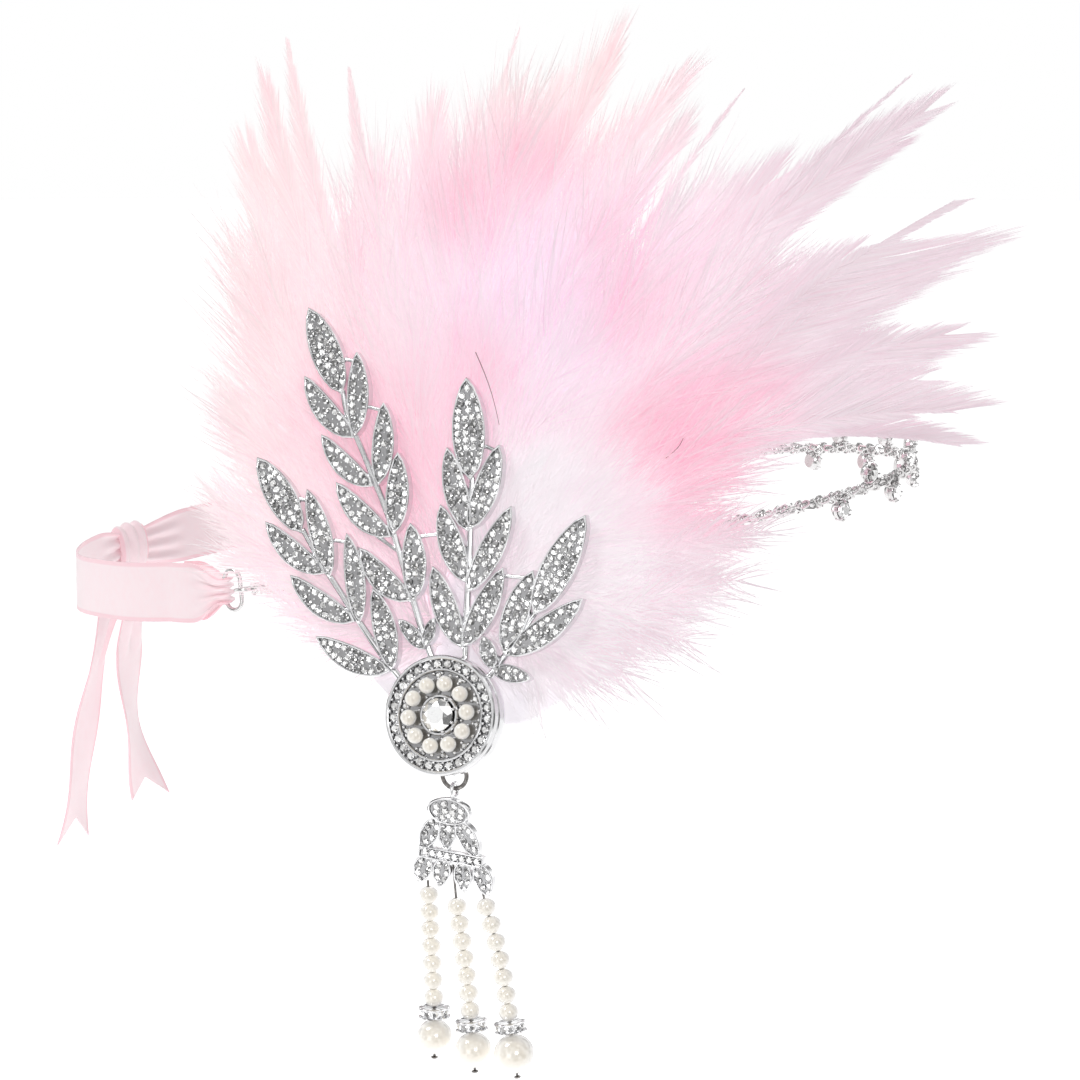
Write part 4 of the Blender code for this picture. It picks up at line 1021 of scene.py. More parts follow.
class Barbs:
    """Collects feather barbs as arrays and joins them into one mesh of thin tapering strips."""

    def __init__(self, segments):
        self.segments = segments
        self.rows = []

    def add(self, root, direction, bend, facing, reach, width, deepen):
        """A batch of barbs, one row of each array to a barb."""
        self.rows.append((root, direction, bend, facing, reach, width, deepen))

    def mesh(self, name, tint_of):
        """Mesh of every barb, with its dye and painted shade as a colour attribute."""
        root, direction, bend, facing, reach, width, deepen = (
            np.concatenate(column) for column in zip(*self.rows))
        count, steps = len(root), self.segments
        middle, across = [], []
        for step in range(steps + 1):
            s = step / steps
            middle.append(root + reach[:, None] * (direction * s + bend * s * s))
            run = direction + bend * (2.0 * s)
            side = np.cross(facing, run)
            side /= np.maximum(np.linalg.norm(side, axis=1), 1e-9)[:, None]
            across.append(side * (0.5 * width * (1.0 - 0.55 * s))[:, None])
        corners = np.empty((count, 2 * steps + 1, 3))
        fade = np.empty((count, 2 * steps + 1))
        for step in range(steps):
            corners[:, 2 * step] = middle[step] - across[step]
            corners[:, 2 * step + 1] = middle[step] + across[step]
            fade[:, 2 * step:2 * step + 2] = step / steps
        corners[:, 2 * steps] = middle[steps]
        fade[:, 2 * steps] = 1.0
        pattern = [
            (2 * step, 2 * step + 1, 2 * step + 3, 2 * step + 2) for step in range(steps - 1)]
        last = 2 * steps - 2
        sizes = [4] * (steps - 1) + [3]
        order = np.array([index for face in pattern for index in face] + [last, last + 1, last + 2])
        base = np.arange(count)[:, None] * (2 * steps + 1)
        corners = behind_spray(corners.reshape(-1, 3)).reshape(count, -1, 3)
        mesh = bpy.data.meshes.new(name)
        mesh.vertices.add(count * (2 * steps + 1))
        mesh.vertices.foreach_set("co", corners.reshape(-1).astype(np.float32))
        mesh.loops.add(count * len(order))
        mesh.loops.foreach_set("vertex_index", (base + order[None]).reshape(-1).astype(np.int32))
        starts = np.concatenate([[0], np.cumsum(sizes)[:-1]])
        mesh.polygons.add(count * len(sizes))
        every = (np.arange(count)[:, None] * len(order) + starts[None]).reshape(-1)
        mesh.polygons.foreach_set("loop_start", every.astype(np.int32))
        mesh.update(calc_edges=True)
        mesh.validate()
        tint = tint_of(corners.reshape(-1, 3), fade.reshape(-1), np.repeat(deepen, 2 * steps + 1))
        layer = mesh.attributes.new("tint", "FLOAT_COLOR", "POINT")
        dyed = np.column_stack([tint, np.ones(len(tint))])
        layer.data.foreach_set("color", dyed.reshape(-1).astype(np.float32))
        return mesh


def tint_table(table, paling=0.24, root_shade=0.14):
    """Function that gives the dye and painted shade at points of the plume: painted shade deeper at each
    barb's root, paler at its tip.
    """

    def tint(corners, fade, deepen):
        total = np.zeros(len(corners))
        colour = np.zeros((len(corners), 3))
        for u, v, spread, strength, paint in table:
            away = (corners[:, 0] / MM - u) ** 2 + (corners[:, 1] / MM - v) ** 2
            weight = strength * np.exp(-away / (2.0 * spread * spread)) + 1e-6
            total += weight
            colour += weight[:, None] * np.array(paint)
        colour /= total[:, None]
        pale = (paling * fade)[:, None]
        colour = colour * (1.0 - pale) + pale
        # painted shade: barbs deepen towards their roots, where the fluff is thick
        depth = np.clip(deepen + root_shade * (1.0 - fade), 0.0, 1.0)[:, None]
        return colour * (1.0 - depth) + colour * np.array(DEEP_DYE_AND_SHADE_PINK) / np.array(BLUSH) * depth

    return tint


def quill_line(row, count, start, end):
    """Middle line of a feather in the brooch frame, from one share of its reach to another.

    The row holds the angle, the reach, the depth half way, the depth at the tip and the sideways bend.
    """
    angle, reach, middle, tip, bend = row
    turn = math.radians(angle)
    outward = np.array((math.sin(turn), math.cos(turn), 0.0))
    sideways = np.array((math.cos(turn), -math.sin(turn), 0.0))
    s = np.linspace(start, end, count)[:, None]
    near = PLUME_ROOT.z + (middle * MM - PLUME_ROOT.z) * np.minimum(2.0 * s, 1.0) ** 1.6
    far = (middle + (tip - middle) * np.maximum(2.0 * s - 1.0, 0.0) ** 1.3) * MM
    line = np.array(PLUME_ROOT) + outward * (reach * MM * s) + sideways * (4.0 * bend * MM * s * (1 - s))
    line[:, 2] = np.where(s < 0.5, near, far)[:, 0]
    return line


def behind_spray(corners):
    """Points held softly behind the leaves where the spray lies in front of them."""
    u, v, w = corners[:, 0] / MM, corners[:, 1] / MM, corners[:, 2]
    beside = np.maximum(np.abs(u - SPRAY_MIDDLE[0]) - SPRAY_HALF_SIZE[0], 0.0)
    beyond = np.maximum(np.abs(v - SPRAY_MIDDLE[1]) - SPRAY_HALF_SIZE[1], 0.0)
    limit = (SPRAY_CLEARANCE + CLEARANCE_SLOPE * np.hypot(beside, beyond)) * MM
    over = np.maximum(w - (limit - CLEARANCE_ROOM), 0.0)
    held = limit - CLEARANCE_ROOM + CLEARANCE_ROOM * (1.0 - np.exp(-over / CLEARANCE_ROOM))
    corners[:, 2] = np.where(over > 0.0, held, w)
    return corners


def unit(rows):
    """Rows scaled to length 1."""
    return rows / np.maximum(np.linalg.norm(rows, axis=1), 1e-9)[:, None]


def sample(line, s):
    """Points of a line at shares 0 to 1 of its count."""
    spot = s * (len(line) - 1)
    low = np.minimum(spot.astype(int), len(line) - 2)
    part = (spot - low)[:, None]
    return line[low] * (1.0 - part) + line[low + 1] * part


class Vane:
    """How the barbs of one kind of feather grow from its quill."""

    def __init__(self, spacing, reach, width, base, tip, curl, lift, wild, ragged, profile, roll=0.4):
        self.spacing = spacing * MM
        self.reach = reach * MM
        self.width = width * MM
        self.base = base
        self.tip = tip
        self.curl = curl
        self.lift = lift
        self.wild = wild
        self.ragged = ragged
        self.profile = profile
        self.roll = roll

    def grow(self, field, rng, line, size=1.0, deepen=0.0, tilt=0.0, shares=(1.0, 1.0)):
        """Add this feather's barbs, both sides, along its quill."""
        length = np.linalg.norm(np.diff(line, axis=0), axis=1).sum()
        count = max(6, int(length / self.spacing))
        run = unit(np.gradient(line, axis=0))
        face = np.array((math.sin(tilt), 0.0, math.cos(tilt)))
        for side, share in zip((-1.0, 1.0), shares):
            s = (np.arange(count) + rng.random(count)) / count
            along = sample(run, s)
            across = side * unit(np.cross(along, face))
            toward = unit(np.cross(across, along)) * side
            clump = np.repeat(rng.normal(0.0, 1.0, count // 7 + 1), 7)[:count]
            lean = np.radians(self.base + (self.tip - self.base) * s ** 0.9)
            lean = lean + clump * self.wild * 0.35 + rng.normal(0.0, self.wild * 0.35, count)
            rise = self.lift * rng.normal(0.25, 1.0, count)
            direction = along * np.cos(lean)[:, None] + across * np.sin(lean)[:, None]
            direction = unit(direction + toward * rise[:, None])
            bend = along * (self.curl * rng.uniform(0.4, 1.2, count))[:, None]
            bend = bend + rng.normal(0.0, self.wild * 0.45, (count, 3))
            reach = self.reach * size * share * self.profile(s)
            reach = reach * rng.uniform(1.0 - self.ragged, 1.0 + 0.5 * self.ragged, count)
            reach = reach * (1.0 + 0.12 * clump * self.ragged)
            facing = unit(toward + rng.normal(0.0, self.roll, (count, 3)))
            width = self.width * rng.uniform(0.7, 1.25, count)
            deep = np.full(count, deepen) + rng.normal(0.0, 0.08, count)
            field.add(sample(line, s), direction, bend, facing, np.maximum(reach, 0.0005), width, deep)


def down_profile(s):
    """Length of marabou barbs along the quill."""
    return (0.55 + 0.45 * np.minimum(1.0, s / 0.2)) * (1.0 - 0.50 * s ** 5)


def blade_profile(s):
    """Length of the barbs of a pointed feather along its quill."""
    return np.minimum(1.0, 0.35 + s / 0.35) * (1.0 - s ** 2.4) ** 0.75 + 0.10


def hackle_profile(s):
    """Length of the barbs of a brush-ended feather along its quill."""
    return np.minimum(1.0, 0.30 + s / 0.30) * (1.0 - 0.55 * s ** 3)


def flag_profile(s):
    """Length of the barbs of a feather whose vane ends square before its shaft does."""
    return 0.12 + 0.88 * np.clip((0.78 - s) / 0.10, 0.0, 1.0) * np.minimum(1.0, 0.30 + s / 0.30)


DOWN = Vane(0.40, 21.0, 0.30, 46.0, 11.0, 0.42, 0.26, 0.22, 0.40, down_profile)
SHORT_DOWN = Vane(0.42, 15.0, 0.27, 50.0, 14.0, 0.40, 0.34, 0.30, 0.45, down_profile)
HOOKS = Vane(0.36, 12.0, 0.25, 58.0, 16.0, 0.85, 0.35, 0.34, 0.35, down_profile)
STRAYS = Vane(0.75, 13.0, 0.27, 62.0, 20.0, 0.95, 0.30, 0.25, 0.3, down_profile)
KINDS = {
    "wide": Vane(0.22, 24.0, 0.32, 26.0, 7.0, 0.14, 0.09, 0.07, 0.22, hackle_profile, roll=0.3),
    "spire": Vane(0.24, 13.0, 0.34, 24.0, 6.0, 0.06, 0.08, 0.05, 0.20, blade_profile, roll=0.3),
    "strap": Vane(0.16, 18.0, 0.32, 30.0, 13.0, 0.16, 0.04, 0.035, 0.14, hackle_profile, roll=0.2),
    "flag": Vane(0.11, 34.0, 0.32, 34.0, 21.0, 0.22, 0.03, 0.03, 0.10, flag_profile, roll=0.2),
    "hackle": Vane(0.14, 27.0, 0.30, 32.0, 12.0, 0.22, 0.05, 0.045, 0.18, hackle_profile, roll=0.22),
    "wisp": Vane(0.50, 8.0, 0.28, 14.0, 4.0, 0.05, 0.10, 0.08, 0.30, blade_profile, roll=0.3),
}


def quills(name, lines):
    """Fine tapering shafts, each a four-sided tube along its line, with its own dye."""
    corners, faces, paint = [], [], []
    for line, root_width, tip_width, dye in lines:
        run = unit(np.gradient(line, axis=0))
        side = unit(np.cross(run, np.array((0.0, 0.0, 1.0))))
        up = unit(np.cross(side, run))
        base = len(corners)
        paint += [(*dye, 1.0)] * (4 * len(line))
        for index in range(len(line)):
            s = index / (len(line) - 1)
            half = 0.5 * (root_width + (tip_width - root_width) * s)
            for turn in range(4):
                angle = 0.5 * math.pi * turn
                outward = side[index] * math.cos(angle) + up[index] * math.sin(angle)
                corners.append(line[index] + half * outward)
        for index in range(len(line) - 1):
            for turn in range(4):
                a = base + 4 * index + turn
                b = base + 4 * index + (turn + 1) % 4
                faces.append((a, b, b + 4, a + 4))
        faces.append(tuple(base + turn for turn in (3, 2, 1, 0)))
        end = base + 4 * (len(line) - 1)
        faces.append(tuple(end + turn for turn in range(4)))
    mesh = bpy.data.meshes.new(name)
    mesh.from_pydata(np.array(corners), [], faces)
    mesh.attributes.new("tint", "FLOAT_COLOR", "POINT").data.foreach_set(
        "color", np.array(paint, dtype=np.float32).reshape(-1))
    mesh.update()
    return mesh


def plume_piece(name, mesh, replaces=()):
    """A finished group of feathers on the brooch."""
    mesh.transform(BROOCH)
    return dressed(linked(name, mesh), "feather", "root", replaces)


def leaf_half_width(s, width):
    """Half width of a leaf at a share of its length."""
    return 0.5 * width * math.sin(math.pi * s ** 0.9) ** 0.66


def leaf_outline(base, tip, width, bend, stations):
    """Pointed outline of a leaf, once round."""
    base, tip = Vector(base), Vector(tip)
    along = tip - base
    side = Vector((along.y, -along.x)).normalized()
    shares = [(index + 1) / (stations + 1) for index in range(stations)]
    outline = [base]
    for sign, order in ((1.0, shares), (-1.0, shares[::-1])):
        if sign < 0.0:
            outline.append(tip)
        for s in order:
            shift = 4.0 * bend * s * (1.0 - s)
            outline.append(base + along * s + side * (sign * leaf_half_width(s, width) + shift))
    return outline


def leaf_castings(name, leaves, back, depth, rim, bed):
    """Rimmed leaves: flat outlines, extruded, inset for the rim and sunk for the bed."""
    corners, faces = [], []
    for index, (base, tip, width, bend) in enumerate(leaves):
        outline = leaf_outline(base, tip, width, bend, LEAF_STATIONS)
        first = len(corners)
        corners += [(p.x, p.y, back + 0.00003 * (index % 3)) for p in outline]
        faces.append(tuple(range(first, len(corners))))
    mesh = bpy.data.meshes.new(name)
    mesh.from_pydata(corners, [], faces)
    made = linked(name, mesh)
    edit(made)
    bpy.ops.mesh.select_all(action="SELECT")
    bpy.ops.mesh.normals_make_consistent(inside=False)
    bpy.ops.mesh.extrude_region_move(TRANSFORM_OT_translate={"value": (0.0, 0.0, depth)})
    top = back + depth
    pick_faces(made, lambda face: face.calc_center_median().z > top - 0.0001 and len(face.verts) > 4)
    bpy.ops.mesh.inset(thickness=rim, depth=0.0, use_individual=True, use_even_offset=True)
    bpy.ops.mesh.inset(thickness=RIM_SLOPE, depth=0.0, use_individual=True, use_even_offset=True)
    bpy.ops.transform.translate(value=(0.0, 0.0, -bed))
    leave_edit_mode()
    outward_normals(made)
    bed_marked(made, top - bed, 0.10 * MM)
    bevel(made, 0.00009, 1, 50.0)
    return smooth(made, 35.0)


def leaf_stone_places(leaf, height, stone, rim):
    """Stones (place and radius) that fill a leaf's bed, as many abreast as fit, and grains between."""
    base, tip, width, bend = leaf
    base, tip = Vector(base), Vector(tip)
    along = tip - base
    length = along.length
    side = Vector((along.y, -along.x)).normalized()
    steps = max(2, round(length / (2.06 * stone)))
    stones, grains = [], []
    for index in range(1, 2 * steps):
        s = index / (2.0 * steps)
        room = leaf_half_width(s, width) - rim
        middle = base + along * s + side * (4.0 * bend * s * (1.0 - s))
        if room < 0.5 * stone:
            continue
        abreast = max(1, int((2.0 * room + 0.25 * stone) / (2.0 * stone)))
        if index % 2:
            size = min(stone, room / abreast * 1.06)
            reach = room - 0.98 * size
            for number in range(abreast):
                share = 2.0 * number / (abreast - 1) - 1.0 if abreast > 1 else 0.0
                spot = middle + side * (share * reach)
                stones.append((spot.x, spot.y, height, size))
        else:
            for number in range(abreast + 1):
                share = 2.0 * number / abreast - 1.0
                spot = middle + side * (share * (room - 0.28 * stone))
                grains.append((spot.x, spot.y, height))
    return stones, grains


def rocked(index):
    """Small tilt of a hand-set stone."""
    across = Matrix.Rotation(STONE_ROCK * math.sin(12.9 * index), 4, "X")
    along = Matrix.Rotation(STONE_ROCK * math.cos(7.3 * index), 4, "Y")
    return across @ along


def leaf_rows(table):
    """Leaves of the spray in metres: base, tip, width, bend."""
    return [
        ((bu * MM, bv * MM), (tu * MM, tv * MM), width * LEAF_FULLER * MM, bend * MM)
        for rows in table.values() for bu, bv, tu, tv, width, bend in rows]


def ring_wire(name, half_length, half_height, wire, segments, resolution):
    """Link of round wire in the local XY plane: a circle, drawn out along Y where it is taller."""
    straight = half_height - half_length
    points = []
    for index in range(segments):
        turn = 2 * math.pi * (index + 0.5) / segments
        y = half_length * math.sin(turn) + math.copysign(straight, math.sin(turn))
        points.append(Vector((half_length * math.cos(turn), y, 0.0)))
    return smooth(tube(name, points, wire, resolution, closed=True), 60.0)


def stones_on(name, places, body, cut=None):
    """Stones at matrices, dressed as clear crystal, small and round unless another cut is given."""
    cut = cut or small_stone()
    made = repeated(name, cut, places, shading=False)
    removed(cut)
    return dressed(made, "clear_stone", body)


def grains_on(name, places, segments=8, rings=5):
    """Polished metal grains at matrices."""
    grain = metal_bead(name, segments, rings)
    made = repeated(name, grain, places)
    removed(grain)
    return made


def strand_points(row):
    """Bead centres of one strand, then its rondelle and large pearl, in the drop's frame."""
    top_u, top_z, low_u, low_z, bow, large_u, large_radius = row[2:]
    centres = []
    for index in range(STRAND_BEADS):
        s = index / (STRAND_BEADS - 1)
        u = top_u + (low_u - top_u) * s + 4.0 * bow * s * (1.0 - s)
        centres.append(Vector((u * MM, (top_z + (low_z - top_z) * s) * MM, 0.0)))
    direction = (centres[-1] - centres[-2]).normalized()
    rondelle = centres[-1] + direction * (BEAD_HALF_LENGTH + PEARL_SEAT + RONDELLE_HALF_LENGTH)
    large = rondelle + direction * (RONDELLE_HALF_LENGTH + PEARL_SEAT + large_radius * MM)
    large.x = 0.6 * large.x + 0.4 * large_u * MM
    return centres, rondelle, large


def bead_profile(radius, half_length, bore, points):
    """Drilled bead, down its outside."""
    reach = math.sqrt(1.0 - (bore / radius) ** 2) * half_length
    start = math.acos(min(1.0, reach / half_length))
    return [
        (radius * math.sin(turn), half_length * math.cos(turn))
        for turn in (start + (math.pi - 2.0 * start) * index / (points - 1) for index in range(points))]


def bezier(a, b, c, d, s):
    """Point on a cubic curve."""
    return a * (1 - s) ** 3 + b * (3 * s * (1 - s) ** 2) + c * (3 * s * s * (1 - s)) + d * s ** 3


def sewn_lead(seat, angle, count, side=-1.0):
    """Curve from a seat on the pad's back that runs onto the band at an angle."""
    start = BROOCH @ Vector((seat[0] * MM, seat[1] * MM, PAD_BACK - CHAIN_RADIUS - 2 * GAP))
    finish = band_point(angle, CHAIN_STANDOFF)
    handle = finish + band_axes(angle)[0] * (side * LEAD_HANDLE)
    first = start.lerp(handle, 0.5)
    return [bezier(start, first, handle, finish, index / (count - 1)) for index in range(count)]


def chain_path():
    """Middle line of the long chain, from the pad's back round to the far ring."""
    line = sewn_lead(FRONT_CHAIN_SEAT, CHAIN_MEETS_BAND, LEAD_POINTS)[:-1]
    hook = FAR_RING_ANGLE + angle_of(ROPE_END_REACH, FAR_RING_ANGLE)
    for index in range(CHAIN_POINTS):
        turn = CHAIN_MEETS_BAND + (hook - CHAIN_MEETS_BAND) * index / (CHAIN_POINTS - 1)
        line.append(band_point(turn, CHAIN_STANDOFF))
    return line


def even_steps(line, pitch):
    """Points a pitch apart along a line, each with its direction."""
    fine = smooth_line(line, 8)
    places, left = [], 0.0
    for before, after in zip(fine, fine[1:]):
        step = after - before
        while left < step.length:
            places.append((before + step * (left / step.length), step.normalized()))
            left += pitch
        left -= step.length
    return places


def rope_places(line):
    """Places of a rope chain's small oval links, which turn a little from each to the next."""
    places = []
    for index, (spot, run) in enumerate(even_steps(line, ROPE_LINK_PITCH)):
        level = Vector((0.0, 0.0, 1.0))
        level = (level - run * level.dot(run)).normalized()
        side = run.cross(level)
        turned = Matrix((side, level, run)).transposed().to_4x4()
        spin = Matrix.Rotation(math.radians(152.0) * index, 4, "Z")
        lean = Matrix.Rotation(math.radians(52.0), 4, "X")
        out = Matrix.Translation((0.0, 0.36 * CHAIN_RADIUS, 0.0))
        places.append(Matrix.Translation(spot) @ turned @ spin @ out @ lean)
    return places


def gathered(middle, half, up, normal, columns, full, folds, lean=0.0):
    """One row of a ribbon: points across it, in pleats where it is narrower than its cloth."""
    squeeze = max(1.0, full / half)
    slope = math.sqrt(2.0 * (squeeze * squeeze - 1.0))
    depth = slope * half / (math.pi * folds)
    row = []
    for index in range(columns):
        c = 2.0 * index / (columns - 1) - 1.0
        wave = depth * math.sin(math.pi * folds * c + 0.6)
        row.append(middle + up * (half * c) + normal * (wave + lean * half * c * c))
    return row


def cloth_strip(name, rows, wall):
    """Sheet of cloth from rows of points, with a UV map in shares across and metres along."""
    columns = len(rows[0])
    corners = [point for row in rows for point in row]
    faces = []
    for r in range(len(rows) - 1):
        for c in range(columns - 1):
            a = r * columns + c
            faces.append((a, a + columns, a + columns + 1, a + 1))
    mesh = bpy.data.meshes.new(name)
    mesh.from_pydata([tuple(point) for point in corners], [], faces)
    runs = [0.0]
    for before, after in zip(rows, rows[1:]):
        runs.append(runs[-1] + (after[columns // 2] - before[columns // 2]).length)
    layer = mesh.uv_layers.new(name="cloth")
    for loop in mesh.loops:
        r, c = divmod(loop.vertex_index, columns)
        layer.data[loop.index].uv = (c / (columns - 1), runs[r])
    made = linked(name, mesh)
    thickness = made.modifiers.new("wall", "SOLIDIFY")
    thickness.thickness = wall
    thickness.offset = 0.0
    apply_modifiers(made)
    return smooth(made, 50.0), runs[-1]


def ribbon_line(ring_angle, side):
    """Rows of a ribbon that folds round its ring's bar and runs to the knot."""
    bar = ring_angle + side * angle_of(BAND_RING_HALF_LENGTH, ring_angle)
    fold = BAND_RING_WIRE + GAP + 0.5 * RIBBON_FOLD_ROOM
    tail = 13.0 * MM
    full = 0.5 * RIBBON_WIDTH
    neck = 0.5 * RIBBON_NECK
    rows = []

    def half_at(shift):
        ease = min(1.0, max(0.0, (shift - 1.0 * MM) / (8.0 * MM)))
        return neck + (full - neck) * math.sin(0.5 * math.pi * ease) ** 1.2

    def add(shift, standoff, half, facing):
        angle = bar + side * angle_of(shift, bar)
        forward, outward, upward = band_axes(angle)
        rows.append((band_point(angle, standoff), half, upward, outward * facing))

    inner = CHAIN_STANDOFF - fold
    outer = CHAIN_STANDOFF + fold
    for step in range(14):
        shift = tail + (1.0 * MM - tail) * step / 13
        add(shift, inner, half_at(shift), 1.0)
    for index in range(9):
        turn = math.pi * (index + 0.5) / 9
        add(-fold * math.sin(turn), CHAIN_STANDOFF - fold * math.cos(turn), neck, 1.0)
    last_shift = 18.0 * MM
    for step in range(18):
        shift = 1.0 * MM + (last_shift - 1.0 * MM) * step / 17
        ease = min(1.0, shift / last_shift)
        settle = outer + (1.0 * MM - outer) * ease ** 3
        add(shift, settle, half_at(shift), 1.0)
    first = bar + side * angle_of(last_shift + 1.5 * MM, bar)
    knot_step = angle_of(KNOT_HALF_WIDTH * 0.55, KNOT_ANGLE)
    last = side * KNOT_ANGLE - side * knot_step
    steps = 60
    for index in range(steps + 1):
        part = index / steps
        angle = first + (last - first) * part
        forward, outward, upward = band_axes(angle)
        squeeze = 1.0 - 0.34 * max(0.0, (part - 0.86) / 0.14) ** 1.5
        lift = 1.0 * MM + (KNOT_STANDOFF - 1.0 * MM) * max(0.0, (part - 0.86) / 0.14) ** 2
        sag = 0.35 * MM * math.sin(part * 17.0) * (1.0 - part)
        rows.append((band_point(angle, lift + sag), full * squeeze, upward, outward))
    return rows


def tail_rows(side, length, back):
    """Rows of one hanging ribbon tail, from inside the knot's foot down to its end."""
    start = band_point(KNOT_ANGLE, KNOT_STANDOFF)
    start += Vector((side * TAIL_START_SIDE, back, -0.5 * KNOT_HEIGHT - TAIL_START_GAP))
    rows = []
    for index in range(TAIL_STEPS + 1):
        s = index / TAIL_STEPS
        sway = side * (TAIL_SWAY_TOP + (TAIL_SWAY_FOOT - TAIL_SWAY_TOP) * s)
        depth = TAIL_BULGE * math.sin(math.pi * s) + TAIL_KICK * s
        middle = start + Vector((sway * s, depth, -length * s))
        across = Vector((math.cos(TAIL_TURN * s), TAIL_TWIST * math.sin(math.pi * s), 0.0)).normalized()
        half = 0.5 * RIBBON_WIDTH * min(1.0, TAIL_GATHER + (1.0 - TAIL_GATHER) * 3.0 * s)
        rows.append((middle, half, across, across.cross(Vector((0.0, 0.0, -1.0))).normalized()))
    return rows


def colour_setting(name, description, default):
    """Setting that holds a colour."""
    return bpy.props.FloatVectorProperty(
        name=name, description=description, subtype="COLOR", size=3, min=0.0, max=1.0, default=default)


def share_setting(name, description, default):
    """Setting that holds a share from 0 to 1."""
    return bpy.props.FloatProperty(
        name=name, description=description, subtype="FACTOR", min=0.0, max=1.0, default=default)


class HeadbandSettings(bpy.types.PropertyGroup):
    """Sizes and colours of the headband that a user may change."""

    silver_colour: colour_setting("Silver", "Colour of the cast silver", (0.79, 0.79, 0.80))
    stone_colour: colour_setting("Stones", "Colour of the clear stones on their foil", (0.92, 0.92, 0.92))
    pearl_colour: colour_setting("Pearls", "Body colour of the pearls", (0.97, 0.955, 0.92))
    satin_colour: colour_setting("Satin", "Colour of the ribbon", from_srgb(254, 234, 238))
    dye_colour: colour_setting("Dye", "Colour that deepens the feathers in patches", (1.0, 0.84, 0.91))
    dye_patches: share_setting("Dye patches", "Strength of the uneven dye", 0.30)
    feather_glow: share_setting("Feather glow", "Light that the down passes on", 0.33)
    barb_paleness: share_setting("Barb paleness", "How much greyer one barb is than many together", 0.70)
    feather_fullness: share_setting("Fullness", "Share of the feathers that is made", 1.0)
    leaf_stone: bpy.props.FloatProperty(
        name="Leaf stone", description="Radius of the stones in the leaves", unit="LENGTH",
        min=0.0003, max=0.001, default=0.00074)
    floor_height: bpy.props.FloatProperty(
        name="Floor", description="Height of the floor", unit="LENGTH", default=-0.150)
    key_power: bpy.props.FloatProperty(
        name="Key light", description="Power of the main soft light", unit="POWER", min=0.0, default=3.0)


